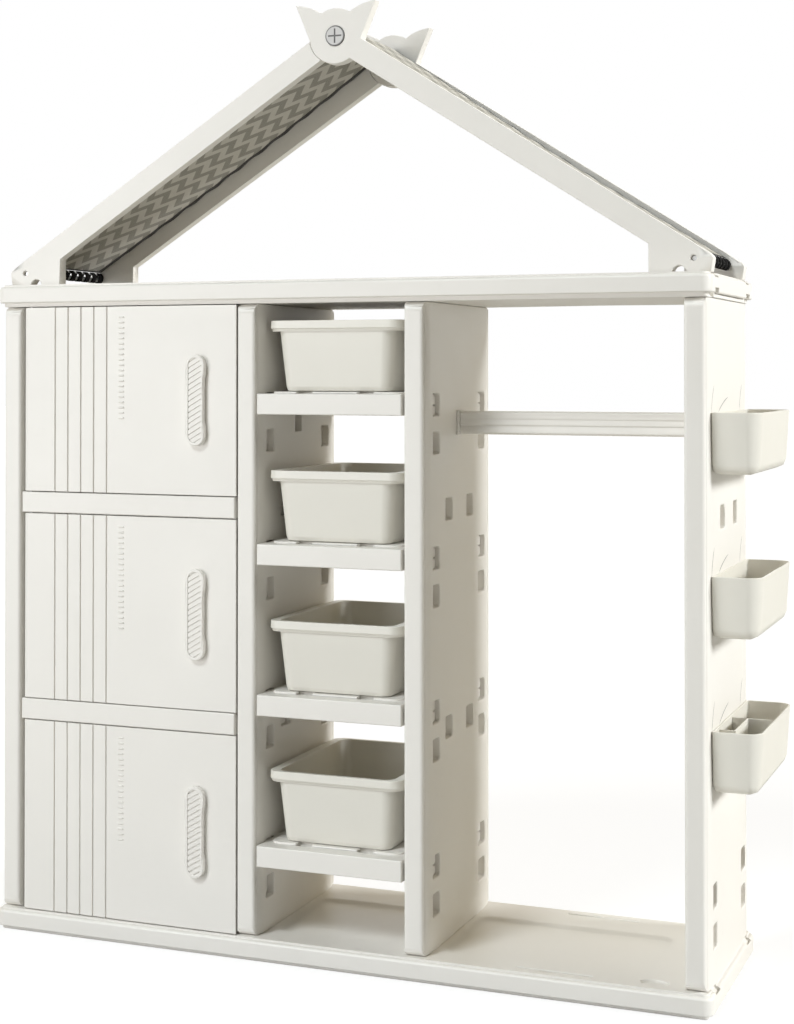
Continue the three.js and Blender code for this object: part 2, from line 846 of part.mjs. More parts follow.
function makeTrayShelf(name, z) {
  const top = z + trayHeight / 2;
  const rear = panelRearY - trayRear;
  const body = box(bayLeft + fit, bayRight - fit, panelFrontY, rear, z - trayHeight / 2, top);
  const seatFrontY = panelFrontY + seatFront;
  const seat = skin([
    roundedRing(bayLeft + seatInset, bayRight - seatInset, seatFrontY, rear - seatInset, 16, top - 1),
    roundedRing(bayLeft + seatInset, bayRight - seatInset, seatFrontY, rear - seatInset, 16, top + seatHeight),
  ]);
  const faces = [bayLeft, bayRight];
  const hooks = hooksOf(faces, edgeWindowOffset, edgeWindowWidth, z);
  const notches = [-1, 1].map((side) => box(
    side * seatNotchOffset - seatNotchLength / 2, side * seatNotchOffset + seatNotchLength / 2,
    seatFrontY - fit, seatFrontY + seatNotchWidth, top + seatHeight - seatNotchDepth, top + seatHeight + 1,
  ));
  const splits = hookSplits(faces, edgeWindowOffset, edgeWindowWidth, z);
  addPiece(name, 'ivory', cut(join([body, seat, ...hooks]), [...notches, ...splits]));
}

function makeBin(name, shelfCentre) {
  const z = shelfCentre + trayHeight / 2 + seatHeight + fit;
  const y0 = panelFrontY + binFrontRoom;
  const y1 = panelRearY - trayRear - binRearRoom;
  const halfRim = bayRight - binSideRoom;
  const top = z + binHeight;
  const bodyX = halfRim - binSideRim;
  const ring = (sideInset, endInset, radius, height) => roundedRing(
    -halfRim + sideInset, halfRim - sideInset, y0 + endInset, y1 - endInset, radius, height, 3,
  );
  const floorX = halfRim - bodyX + binSideTaper;
  const floorY = binEndRim + binEndTaper;
  addPiece(name, 'bin', skin([
    ring(floorX + binFootRound, floorY + binFootRound, binCorner - 6, z),
    ring(floorX, floorY, binCorner - 4, z + binFootRound),
    ring(binSideRim, binEndRim, binCorner, top - binWall),
    ring(binWall, binWall, binCorner, top - binWall),
    ring(binWall, binWall, binCorner, top - binRimBand),
    ring(0, 0, binCorner, top - binRimBand),
    ring(0, 0, binCorner, top),
    ring(binSideRim + binWall, binEndRim + binWall, binCorner - 2, top),
    ring(floorX + binWall, floorY + binWall, binCorner - 6, z + binFootRound + binWall),
    ring(floorX + binFootRound + binWall, floorY + binFootRound + binWall, binCorner - 8, z + binWall),
  ]));
}

// Hanging rail

const hangLeft = panelCentres[2] + halfPanel;
const hangRight = panelCentres[3] - halfPanel;

function railOutline() {
  const halfDepth = railDepth / 2;
  const half = railHeight / 2;
  const band = railHeight / 5;
  return [
    [-halfDepth + 3, half], [-halfDepth, half - 3],
    [-halfDepth, half - 1.6 * band], [-halfDepth + railGroove / 2, half - 1.6 * band],
    [-halfDepth, half - 2.3 * band], [-halfDepth, half - 2.9 * band],
    [-halfDepth + railGroove, half - 3.2 * band], [-halfDepth, half - 3.8 * band],
    [-halfDepth, -half + 3], [-halfDepth + 3, -half],
    [halfDepth - 3, -half], [halfDepth, -half + 3], [halfDepth, half - 3], [halfDepth - 3, half],
  ];
}

function makeRail() {
  const x0 = hangLeft + fit + flangeThickness + fit;
  const x1 = hangRight - fit - flangeThickness - fit;
  const shape = new THREE.Shape(railOutline().map(([y, z]) => new THREE.Vector2(y, z)));
  const rail = new THREE.ExtrudeGeometry(shape, { depth: x1 - x0, bevelEnabled: false });
  rail.rotateX(Math.PI / 2);
  rail.rotateZ(Math.PI / 2);
  rail.translate(x0, 0, railLevel);
  addPiece('hanging_rail', 'ivory', rail);
  for (const [name, face, side] of [['rail_flange_left', hangLeft, 1], ['rail_flange_right', hangRight, -1]]) {
    const near = face + side * fit;
    const far = near + side * flangeThickness;
    const plug = face - side * railPlug;
    addPiece(name, 'ivory', join([
      box(Math.min(near, far), Math.max(near, far), -flangeWidth / 2, flangeWidth / 2,
        railLevel - flangeHeight / 2, railLevel + flangeHeight / 2),
      box(Math.min(plug, near + side), Math.max(plug, near + side),
        -railWindowWidth / 2 + fit, railWindowWidth / 2 - fit,
        railLevel - railWindowHeight / 2 + fit, railLevel + railWindowHeight / 2 - fit),
    ]));
  }
}

// Side bins

function makeSideBin(name, level) {
  const rim = sideBinRims[level];
  const floor = rim - sideBinHeight;
  const sill = hookWindowCentres[level] - windowHeight / 2;
  const x0 = sideFaceX + fit;
  const x1 = x0 + sideBinReach;
  const half = depth / 2 - sideBinEndRoom;
  const backCorner = 3;
  const ring = (inset, lift, backInset = 0) => {
    const r = Math.max(sideBinCorner - inset, 4);
    const points = [];
    const corners = [
      [x1 - inset - r, -half + inset + r, -Math.PI / 2, r, 5],
      [x1 - inset - r, half - inset - r, 0, r, 5],
      [x0 + backInset + backCorner, half - inset - backCorner, Math.PI / 2, backCorner, 2],
      [x0 + backInset + backCorner, -half + inset + backCorner, Math.PI, backCorner, 2],
    ];
    for (const [cx, cy, start, radius, steps] of corners) {
      for (let i = 0; i <= steps; i += 1) {
        const angle = start + (Math.PI / 2) * (i / steps);
        points.push([cx + radius * Math.cos(angle), cy + radius * Math.sin(angle), lift]);
      }
    }
    return points;
  };
  const round = sideBinFootRound;
  const wall = sideBinWall;
  const shell = skin([
    ring(sideBinTaper + round, floor, round * 0.7),
    ring(sideBinTaper + round * 0.3, floor + round * 0.3, round * 0.15),
    ring(sideBinTaper, floor + round),
    ring(0, rim),
    ring(wall, rim, wall),
    ring(sideBinTaper + wall, floor + round + wall, wall),
    ring(sideBinTaper + wall + round * 0.3, floor + round * 0.3 + wall, wall + round * 0.15),
    ring(sideBinTaper + wall + round, floor + wall, wall + round * 0.7),
  ]);
  const lugs = [-1, 1].map((side) => roundedBlock(
    sideFaceX - lugReach, x0 + 1, side * edgeWindowOffset - lugWidth / 2, side * edgeWindowOffset + lugWidth / 2,
    sill + fit, sill + fit + lugHeight, lugCorner,
  ));
  addPiece(name, 'bin', join([shell, ...lugs]));
}

function makeDivider(rim) {
  const floor = rim - sideBinHeight;
  const x0 = sideFaceX + fit + sideBinWall + fit;
  const x1 = sideFaceX + fit + sideBinReach - sideBinWall - sideBinTaper - fit;
  const z0 = floor + sideBinWall + sideBinFootRound + fit;
  const z1 = rim - dividerDrop;
  const spineX = x0 + dividerSpine;
  const plate = (a, b, y) => box(a, b, y - dividerWall / 2, y + dividerWall / 2, z0, z1);
  const front = dividerEnd - dividerLength;
  addPiece('side_bin_divider', 'bin', join([
    plate(x0, x1, dividerEnd),
    plate(x0, spineX, front),
    box(spineX - dividerWall / 2, spineX + dividerWall / 2, front - dividerWall / 2, dividerEnd, z0, z1),
  ]));
}

// Roof

const slopeDirection = { along: Math.cos(roofAngle), down: Math.sin(roofAngle) };

// Height of a line parallel to the rafter, at an offset square to it, at a distance out from the ridge
function slopeHeight(out, offset) {
  return ridgeHeight + offset / slopeDirection.along - out * Math.tan(roofAngle);
}

// The frame's outline on the right side, with the ridge end left square to the slope at the axis
function rafterShape() {
  const half = rafterWidth / 2;
  const inner = roofHalfSpan - footLength;
  const outer = roofHalfSpan;
  const floor = roofBaseZ + fit;
  const notch = outer - footNotchFromEnd;
  const shape = new THREE.Shape();
  shape.moveTo(half * slopeDirection.down, ridgeHeight + half * slopeDirection.along);
  shape.lineTo(outer - footCorner, slopeHeight(outer - footCorner, half));
  shape.quadraticCurveTo(outer, slopeHeight(outer, half), outer, slopeHeight(outer, half) - footCorner / 2);
  shape.lineTo(outer - footUndercut, floor);
  shape.lineTo(notch + footNotchRadius, floor);
  shape.absarc(notch, floor, footNotchRadius, 0, Math.PI, false);
  shape.lineTo(inner, floor);
  shape.lineTo(inner, slopeHeight(inner, -half));
  shape.lineTo(-half * slopeDirection.down, ridgeHeight - half * slopeDirection.along);
  shape.closePath();
  return shape;
}

function headShape() {
  const shape = new THREE.Shape();
  const centre = ridgeHeight;
  const rootAngle = Math.atan2(earRootUp, earRootOut);
  const dipAngle = Math.atan2(earDipUp, earDipOut);
  shape.moveTo(discRadius * Math.cos(rootAngle), centre + discRadius * Math.sin(rootAngle));
  shape.quadraticCurveTo(earRootOut + 9, centre + 18, earTipOut, centre + earTipUp);
  shape.quadraticCurveTo(earDipOut + 16, centre + earTipUp - 3, earDipOut, centre + earDipUp);
  shape.absarc(0, centre, discRadius, dipAngle, Math.PI - dipAngle, false);
  shape.lineTo(-earDipOut, centre + earDipUp);
  shape.quadraticCurveTo(-earDipOut - 16, centre + earTipUp - 3, -earTipOut, centre + earTipUp);
  shape.quadraticCurveTo(-earRootOut - 9, centre + 18, -earRootOut, centre + earRootUp);
  shape.absarc(0, centre, discRadius, Math.PI - rootAngle, 2 * Math.PI + rootAngle, false);
  shape.closePath();
  return shape;
}

function discShape(radius) {
  const shape = new THREE.Shape();
  shape.absarc(0, ridgeHeight, radius, 0, 2 * Math.PI, false);
  return shape;
}

function mirrored(shape) {
  const points = shape.getPoints(8).map((p) => new THREE.Vector2(-p.x, p.y)).reverse();
  return new THREE.Shape(points);
}

function footTenon(side, y) {
  return centredBox(
    side * (roofHalfSpan - footLength + footTenonLength / 2 + 4), y, roofBaseZ + 1,
    footTenonLength, footTenonWidth, 2 * (footTenonHeight + 1) - 2,
  );
}

function makeFrame(place, y0) {
  const y1 = y0 + rafterThickness;
  const middle = (y0 + y1) / 2;
  const outerFace = place === 'front' ? y0 : y1;
  const outward = place === 'front' ? -1 : 1;
  const rodBore = (side) => cylinderY(
    side * (roofHalfSpan - eaveFromEnd), y0 - 1, y1 + 1, eaveHeight, eaveRodRadius + fit + 0.1,
  );
  const screwBore = cylinderY(0, y0 - 1, y1 + 1, ridgeHeight, screwRadius + fit);
  const headSink = cylinderY(
    0, Math.min(outerFace + outward, outerFace - outward * screwHeadSink),
    Math.max(outerFace + outward, outerFace - outward * screwHeadSink), ridgeHeight, screwHeadRadius + fit, 24,
  );
  const slotHalf = tongueThickness / 2 + fit;
  const tongueRoom = standing(discShape(discRadius + 1), middle - slotHalf, middle + slotHalf, 12);
  const keep = standing(headKeepShape(), middle - slotHalf - 1, middle + slotHalf + 1);
  const slot = geometryOf(solidOf(tongueRoom).subtract(solidOf(keep)));

  const rightBody = join([
    standing(rafterShape(), y0, y1), standing(headShape(), y0, y1, 8), footTenon(1, middle),
  ]);
  addPiece(`rafter_${place}_right`, 'ivory', cut(rightBody, [slot, screwBore, headSink, rodBore(1)]));

  const discRoom = standing(discShape(discRadius + fit), y0 - 1, y1 + 1, 16);
  const leftBody = cut(standing(mirrored(rafterShape()), y0, y1), [discRoom]);
  const tongue = geometryOf(
    solidOf(standing(tongueShape(), middle - tongueThickness / 2, middle + tongueThickness / 2)),
  );
  const left = join([leftBody, tongue, footTenon(-1, middle)]);
  addPiece(`rafter_${place}_left`, 'ivory', cut(left, [screwBore, rodBore(-1)]));
}

// The part of the head that stays solid beside the slot for the tongue
function headKeepShape() {
  const reach = discRadius + 4;
  const shape = new THREE.Shape();
  const up = new THREE.Vector2(slopeDirection.down, slopeDirection.along);
  const across = new THREE.Vector2(slopeDirection.along, -slopeDirection.down);
  const gap = tongueRadius + fit + 1;
  const at = (a, b) => new THREE.Vector2(0, ridgeHeight).addScaledVector(across, a).addScaledVector(up, b);
  const corners = [at(gap, -reach), at(reach, -reach), at(reach, reach), at(gap, reach)];
  shape.setFromPoints(corners);
  return shape;
}

function tongueShape() {
  const shape = new THREE.Shape();
  const reach = discRadius + 12;
  const lean = roofAngle;
  const up = new THREE.Vector2(-Math.sin(lean), Math.cos(lean));
  const out = new THREE.Vector2(-Math.cos(lean), -Math.sin(lean));
  const start = new THREE.Vector2(0, ridgeHeight);
  const points = [];
  const steps = 8;
  for (let i = 0; i <= steps; i += 1) {
    const angle = -Math.PI / 2 + Math.PI * (i / steps);
    points.push(start.clone()
      .addScaledVector(out, -tongueRadius * Math.cos(angle))
      .addScaledVector(up, tongueRadius * Math.sin(angle)));
  }
  points.push(start.clone().addScaledVector(out, reach).addScaledVector(up, tongueRadius));
  points.push(start.clone().addScaledVector(out, reach).addScaledVector(up, -tongueRadius));
  shape.setFromPoints(points);
  return shape;
}

const frontFrameY = frontY + rafterInset;
const rearFrameY = -frontY - rafterInset - rafterThickness;
const clothFrontY = frontFrameY + rafterThickness;
const clothRearY = rearFrameY;

function makeRidge() {
  for (const [place, face, outward] of [['front', frontFrameY, -1], ['rear', rearFrameY + rafterThickness, 1]]) {
    const seat = face - outward * (screwHeadSink - fit);
    const proud = seat + outward * screwHeadHeight;
    const tip = seat - outward * screwLength;
    const head = cylinderY(0, Math.min(seat, proud), Math.max(seat, proud), ridgeHeight, screwHeadRadius, 24);
    const shank = cylinderY(0, Math.min(seat + outward, tip), Math.max(seat + outward, tip), ridgeHeight, screwRadius);
    const crossA = centredBox(0, proud, ridgeHeight, crossLength, 2 * crossSink, crossWidth);
    const crossB = centredBox(0, proud, ridgeHeight, crossWidth, 2 * crossSink, crossLength);
    addPiece(`ridge_screw_${place}`, 'screw', cut(join([head, shank]), [crossA, crossB]));
  }
  const barFront = clothFrontY + fit;
  const barRear = clothRearY - fit;
  const tube = cut(cylinderY(0, barFront, barRear, ridgeHeight, ridgeBarRadius, 16), [
    cylinderY(0, barFront - 1, barRear + 1, ridgeHeight, ridgeBarRadius - ridgeBarWall, 16),
  ]);
  addPiece('ridge_bar', 'steel', tube);
  for (const [place, y0] of [['front', barFront], ['rear', barRear - plugLength]]) {
    const y1 = y0 + plugLength;
    addPiece(`ridge_bar_plug_${place}`, 'ivory', cut(
      cylinderY(0, y0, y1, ridgeHeight, ridgeBarRadius - ridgeBarWall - fit, 16),
      [cylinderY(0, y0 - 1, y1 + 1, ridgeHeight, screwRadius + fit)],
    ));
  }
}

function makeEaveRods() {
  for (const [place, side] of [['left', -1], ['right', 1]]) {
    addPiece(`eave_rod_${place}`, 'steel', cylinderY(
      side * (roofHalfSpan - eaveFromEnd), frontFrameY + eaveRodSink,
      rearFrameY + rafterThickness - eaveRodSink, eaveHeight, eaveRodRadius,
    ));
  }
}

// The cloth's outline in X and Z: up one slope, round the ridge bar and down the other
function clothLine(offset) {
  const radius = ridgeBarRadius + fit + clothThickness / 2 + offset;
  const eaveX = roofHalfSpan - eaveFromEnd;
  const hem = clothHemHeight;
  const run = Math.hypot(eaveX, ridgeHeight - hem);
  const slope = Math.atan2(ridgeHeight - hem, eaveX) + Math.asin((radius - offset) / run);
  const points = [];
  const normal = [Math.sin(slope), Math.cos(slope)];
  const steps = 6;
  const touchX = (radius - offset) * normal[0];
  const touchZ = ridgeHeight + (radius - offset) * normal[1];
  const slack = [0.25, 0.5, 0.75].map((t) => [
    eaveX + (touchX - eaveX) * t + offset * normal[0],
    hem + (touchZ - hem) * t - clothSag * 4 * t * (1 - t) + offset * normal[1],
  ]);
  points.push([-eaveX - offset * normal[0], hem + offset * normal[1]]);
  points.push(...slack.map(([x, z]) => [-x, z]));
  for (let i = 0; i <= steps; i += 1) {
    const angle = -slope + 2 * slope * (i / steps);
    points.push([radius * Math.sin(angle), ridgeHeight + radius * Math.cos(angle)]);
  }
  points.push(...slack.reverse());
  points.push([eaveX + offset * normal[0], hem + offset * normal[1]]);
  return points;
}

function makeCanopy() {
  const half = clothThickness / 2;
  const outline = [...clothLine(half), ...clothLine(-half).reverse()];
  const shape = new THREE.Shape(outline.map(([x, z]) => new THREE.Vector2(x, z)));
  addPiece('canopy_cloth', 'cloth', standing(shape, clothFrontY + fit, clothRearY - fit));
}

// A strap round the rod, its two legs drawn together where they are sewn to the tape
function loopShape() {
  const inner = eaveRodRadius + fit + 0.15;
  const outer = inner + loopThickness;
  const steps = 4;
  const below = (radius) => Array.from({ length: steps + 1 }, (_, i) => {
    const angle = Math.PI + Math.PI * (i / steps);
    return new THREE.Vector2(radius * Math.cos(angle), radius * Math.sin(angle));
  });
  const shape = new THREE.Shape([
    ...below(outer),
    new THREE.Vector2(loopThickness, loopRise),
    new THREE.Vector2(-loopThickness, loopRise),
  ]);
  shape.holes.push(new THREE.Path([...below(inner), new THREE.Vector2(0, loopRise - loopThickness)]));
  return shape;
}

function makeLoops() {
  const start = clothFrontY + fit;
  const end = clothRearY - fit;
  const pitch = (end - start - loopWidth) / (loopCount - 1);
  for (const [place, side] of [['left', -1], ['right', 1]]) {
    const x = side * (roofHalfSpan - eaveFromEnd);
    const tapeTop = clothHemHeight - clothThickness / 2 - fit;
    const parts = [box(x - loopThickness / 2, x + loopThickness / 2, start, end, tapeTop - tapeHeight, tapeTop)];
    for (let i = 0; i < loopCount; i += 1) {
      const y = start + i * pitch;
      const loop = standing(loopShape(), y, y + loopWidth);
      loop.translate(x, 0, eaveHeight);
      parts.push(loop);
    }
    addPiece(`elastic_loops_${place}`, 'elastic', join(parts));
  }
}

// The whole object, from the floor up

makeBase();
makePanel('side_panel_left', panelCentres[0], false, true);
makePanel('partition_left', panelCentres[1], true, true);
makePanel('partition_right', panelCentres[2], true, false);
makePanel('side_panel_right', panelCentres[3], true, false);
makeCupboardShelf('cupboard_shelf_lower', crossBarCentres[0]);
makeCupboardShelf('cupboard_shelf_upper', crossBarCentres[1]);
makeBackPanel('back_panel_bottom', cupboardSpans[0], true, false);
makeBackPanel('back_panel_middle', cupboardSpans[1], false, false);
makeBackPanel('back_panel_top', cupboardSpans[2], false, true);
['bottom', 'middle', 'top'].forEach((place, i) => {
  makeDoor(place, cupboardSpans[i]);
  makeCatch(place, cupboardSpans[i]);
});
trayCentres.forEach((z, i) => {
  makeTrayShelf(`tray_shelf_${i + 1}`, z);
  makeBin(`bin_${i + 1}`, z);
});
makeRail();
sideBinNames.forEach((name, i) => makeSideBin(name, i));
makeDivider(sideBinRims[sideBinRims.length - 1]);
makeTop();
makeLockBars();
makeFrame('front', frontFrameY);
makeFrame('rear', rearFrameY);
makeRidge();
makeEaveRods();
makeCanopy();
makeLoops();

export default wardrobe;
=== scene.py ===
import json
import math

import bmesh
import bpy
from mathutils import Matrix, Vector
from mathutils.bvhtree import BVHTree
from mathutils.geometry import intersect_line_line_2d

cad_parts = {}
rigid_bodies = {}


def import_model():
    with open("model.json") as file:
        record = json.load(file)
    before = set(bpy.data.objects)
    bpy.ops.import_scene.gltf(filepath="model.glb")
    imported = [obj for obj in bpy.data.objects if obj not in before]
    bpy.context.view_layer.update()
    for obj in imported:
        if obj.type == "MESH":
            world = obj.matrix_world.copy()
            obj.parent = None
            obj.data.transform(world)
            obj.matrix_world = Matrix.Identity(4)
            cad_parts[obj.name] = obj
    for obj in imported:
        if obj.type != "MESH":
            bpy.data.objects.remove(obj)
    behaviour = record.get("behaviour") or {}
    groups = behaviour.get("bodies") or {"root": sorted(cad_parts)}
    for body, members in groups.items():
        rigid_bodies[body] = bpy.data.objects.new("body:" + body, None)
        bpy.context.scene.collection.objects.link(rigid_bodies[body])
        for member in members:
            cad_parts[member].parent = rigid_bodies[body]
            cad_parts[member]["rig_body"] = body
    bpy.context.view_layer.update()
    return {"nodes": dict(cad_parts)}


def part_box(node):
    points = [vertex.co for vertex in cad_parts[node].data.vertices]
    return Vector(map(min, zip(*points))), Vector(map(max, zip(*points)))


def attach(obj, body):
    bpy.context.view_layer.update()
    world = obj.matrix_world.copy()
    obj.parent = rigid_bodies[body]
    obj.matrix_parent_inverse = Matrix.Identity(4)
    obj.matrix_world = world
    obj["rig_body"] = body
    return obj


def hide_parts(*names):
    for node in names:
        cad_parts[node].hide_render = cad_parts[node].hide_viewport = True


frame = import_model()


# The base board: one hollow blow-moulded slab on a low foot, with a step for the panels to stand on,
# shallow pans as the floors of the bays, and the slots that the back panels drop into.
# Its walls are satin polyethylene, faintly wavy, with a fine skin and softly rounded edges.

IVORY = (0.830, 0.806, 0.760)
BOARD_EDGE = 0.0020
SAME_PLANE = math.cos(math.radians(0.5))
MERGE_WITHIN = 0.0002       # points of a CAD mesh that lie nearer than this are one
FACING = 0.2                # least cosine between two edges that face each other across a face
ROOM_SHARE = 0.42           # the most of a face's width that one rounding takes
FLAT_BELOW = 42.0           # edges with less of a turn than this, in degrees, are part of a curve
NEAR_FAULT = 1.6            # roundings this many radii from a folded place are taken back
TURNED_OVER = -0.1          # cosine between a face and the CAD surface under it, if it is folded over
ROUNDING_TRIES = 8
ON_CUT = 2e-5               # both ends of a line lie this near to a cut, if the line is part of it
SLIVER = 1e-9               # area of a face that is too small to matter
TINY = 1e-18                # keeps a division from being by nothing


class Value:
    """A shader socket that can be used in sums."""

    def __init__(self, nodes, link):
        self.nodes = nodes
        self.link = link

    def __add__(self, other):
        return self.nodes.math("ADD", self, other)

    def __radd__(self, other):
        return self.nodes.math("ADD", other, self)

    def __sub__(self, other):
        return self.nodes.math("SUBTRACT", self, other)

    def __rsub__(self, other):
        return self.nodes.math("SUBTRACT", other, self)

    def __mul__(self, other):
        return self.nodes.math("MULTIPLY", self, other)

    def __rmul__(self, other):
        return self.nodes.math("MULTIPLY", other, self)

    def __abs__(self):
        return self.nodes.math("ABSOLUTE", self)


class Nodes:
    """One shader tree, emptied, to which nodes are added by their kind."""

    def __init__(self, tree):
        self.tree = tree
        tree.nodes.clear()

    def add(self, kind, settings, inputs, output=0):
        """A node with its settings made and its sockets filled. What comes back is one of its outputs."""
        node = self.tree.nodes.new(kind)
        for name, value in settings.items():
            setattr(node, name, value)
        self.fill(node, inputs)
        return Value(self, node.outputs[output])

    def fill(self, node, inputs):
        for name, value in inputs.items():
            if isinstance(value, Value):
                self.tree.links.new(value.link, node.inputs[name])
            else:
                node.inputs[name].default_value = value

    def math(self, operation, *values):
        return self.add("ShaderNodeMath", {"operation": operation}, dict(enumerate(values)))


class Finish(Nodes):
    """One material, built from nodes round one Principled shader."""

    def __init__(self, name):
        self.material = bpy.data.materials.new(name)
        self.material.use_nodes = True
        super().__init__(self.material.node_tree)
        self.shader = self.add("ShaderNodeBsdfPrincipled", {}, {})
        self.surface = self.tree.nodes.new("ShaderNodeOutputMaterial")
        self.fill(self.surface, {"Surface": self.shader})
        self.place = self.add("ShaderNodeTexCoord", {}, {}, "Object")

    def shade(self, **inputs):
        node = self.shader.link.node
        self.fill(node, {name.replace("_", " "): value for name, value in inputs.items()})

    def axes(self, vector=None):
        split = self.add("ShaderNodeSeparateXYZ", {}, {0: vector or self.place}).link.node
        return [Value(self, socket) for socket in split.outputs]

    def noise(self, scale, detail=2.0, vector=None, distortion=0.0):
        return self.add("ShaderNodeTexNoise", {}, {
            "Vector": vector or self.place, "Scale": scale, "Detail": detail, "Distortion": distortion,
        })

    def ramp(self, value, low, high):
        return self.add("ShaderNodeMapRange", {}, {"Value": value, "From Min": low, "From Max": high})

    def blend(self, share, *colours):
        """The first colour where the share is 0 and the second where it is 1."""
        first, second = (c if isinstance(c, Value) else (*c, 1.0) for c in colours)
        return self.add("ShaderNodeMix", {"data_type": "RGBA"}, {"Factor": share, 6: first, 7: second}, 2)

    def relief(self, height):
        return self.add("ShaderNodeBump", {}, {"Strength": 1.0, "Distance": 1.0, "Height": height})


def tint(colour, share):
    return tuple(min(1.0, channel * share) for channel in colour)


def moulded_plastic(name, colour, roughness, waves=0.0005, skin=0.00003):
    """Satin moulded polyethylene: slow drift of tone, a wavy wall and a fine orange-peel skin."""
    finish = Finish(name)
    drift = finish.noise(scale=3.2, detail=3.0)
    cloud = finish.noise(scale=22.0, detail=3.0)
    peel = finish.noise(scale=420.0, detail=2.0)
    scuff = finish.ramp(finish.noise(scale=60.0, detail=6.0, distortion=0.6), 0.62, 0.80)
    tone = finish.blend(finish.ramp(drift, 0.35, 0.65), tint(colour, 0.985), tint(colour, 1.012))
    finish.shade(
        Base_Color=finish.blend(scuff * 0.25, tone, tint(colour, 0.94)),
        Roughness=roughness + (cloud - 0.5) * 0.10 + scuff * 0.08,
        Normal=finish.relief(drift * (waves * 4.0) + cloud * waves * 0.3 + peel * skin),
        IOR=1.52,
    )
    return finish.material


ivory_plastic = moulded_plastic("ivory_plastic", IVORY, roughness=0.40)


def inward(loop):
    """From an edge of a face toward the inside of that face."""
    along = loop.link_loop_next.vert.co - loop.vert.co
    return loop.face.normal.cross(along).normalized()


def on_line(start, end, point):
    """The place between start and end that is nearest to the point."""
    along = end - start
    share = (point - start).dot(along) / max(along.length_squared, TINY)
    return start + along * min(1.0, max(0.0, share))


def room_beside(edge, face):
    """How far it is across the face from this edge to the nearest edge that faces it."""
    own = next(loop for loop in face.loops if loop.edge is edge)
    start, end = own.vert.co, own.link_loop_next.vert.co
    square = inward(own)
    room = 1.0
    for other in face.loops:
        if other is own or inward(other).dot(square) > -FACING:
            continue
        first, last = other.vert.co, other.link_loop_next.vert.co
        pairs = [(point, on_line(first, last, point)) for point in (start, end)]
        pairs += [(on_line(start, end, point), point) for point in (first, last)]
        for here, there in pairs:
            gap = there - here
            if gap.dot(square) > 0.5 * gap.length > 0.0:
                room = min(room, gap.length)
    return room


def flat_regions(shape):
    """Groups of faces that lie in one plane and touch."""
    seen = set()
    regions = []
    for first in shape.faces:
        if first in seen:
            continue
        seen.add(first)
        region, waiting = [], [first]
        while waiting:
            face = waiting.pop()
            region.append(face)
            for line in face.edges:
                for other in line.link_faces:
                    if other not in seen and other.normal.dot(first.normal) > SAME_PLANE:
                        seen.add(other)
                        waiting.append(other)
        regions.append(region)
    return regions


def rims_of(region):
    """The closed lines round a flat region: its outline and one for each hole, as sets of points."""
    inside = set(region)
    lines = [
        line for face in region for line in face.edges if len(inside.intersection(line.link_faces)) == 1
    ]
    beside = {}
    for line in lines:
        for vert in line.verts:
            beside.setdefault(vert, []).append(line)
    rims, used = [], set()
    for line in lines:
        if line in used:
            continue
        points, waiting = set(), [line]
        used.add(line)
        while waiting:
            for vert in waiting.pop().verts:
                points.add(vert)
                for other in beside[vert]:
                    if other not in used:
                        used.add(other)
                        waiting.append(other)
        rims.append(points)
    return rims


def middle_and_reach(points, axis):
    """The middle of these points along one axis, and how far they reach along it."""
    values = [vert.co[axis] for vert in points]
    return (min(values) + max(values)) / 2, max(values) - min(values)


def once_each(parts):
    """These parts without repeats, in the order that they come in, so that every run does the same."""
    return list(dict.fromkeys(parts))


def joined_flats(shape):
    """Each flat region made into few faces, parted only across the middle of its holes."""
    for region in flat_regions(shape):
        if len(region) < 2:
            continue
        rims = rims_of(region)
        cuts = []
        if len(rims) > 1:
            whole = set().union(*rims)
            axis = max(range(3), key=lambda k: middle_and_reach(whole, k)[1])
            outline = max(rims, key=lambda points: middle_and_reach(points, axis)[1])
            holes = [points for points in rims if points is not outline]
            cuts = sorted({round(middle_and_reach(points, axis)[0], 4) for points in holes})
        faces = list(region)
        for cut in cuts:
            place, square = Vector((0, 0, 0)), Vector((0, 0, 0))
            place[axis], square[axis] = cut, 1.0
            around = once_each(part for face in faces for part in (face, *face.edges, *face.verts))
            result = bmesh.ops.bisect_plane(shape, geom=around, dist=1e-6, plane_co=place, plane_no=square)
            faces = [
                part for part in result["geom"] if isinstance(part, bmesh.types.BMFace) and part.is_valid
            ]
        inside = set(faces)
        spare = []
        for line in once_each(line for face in faces for line in face.edges):
            if len(inside.intersection(line.link_faces)) == 2:
                if not any(all(abs(vert.co[axis] - cut) < ON_CUT for vert in line.verts) for cut in cuts):
                    spare.append(line)
        bmesh.ops.dissolve_edges(shape, edges=spare, use_verts=False, use_face_split=False)


def crossings(points, normal):
    """The places where a flat outline crosses itself."""
    flat = normal.to_track_quat("Z", "Y").inverted()
    outline = [(flat @ point).to_2d() for point in points]
    count = len(outline)
    found = []
    for i in range(count):
        a, b = outline[i], outline[(i + 1) % count]
        low_x, high_x = min(a.x, b.x), max(a.x, b.x)
        for j in range(i + 2, count - (i == 0)):
            c, d = outline[j], outline[(j + 1) % count]
            if low_x > max(c.x, d.x) or min(c.x, d.x) > high_x:
                continue
            meeting = intersect_line_line_2d(a, b, c, d)
            if meeting is not None:
                share = (meeting - a).length / max((b - a).length, TINY)
                found.append(points[i].lerp(points[(i + 1) % count], share))
    return found


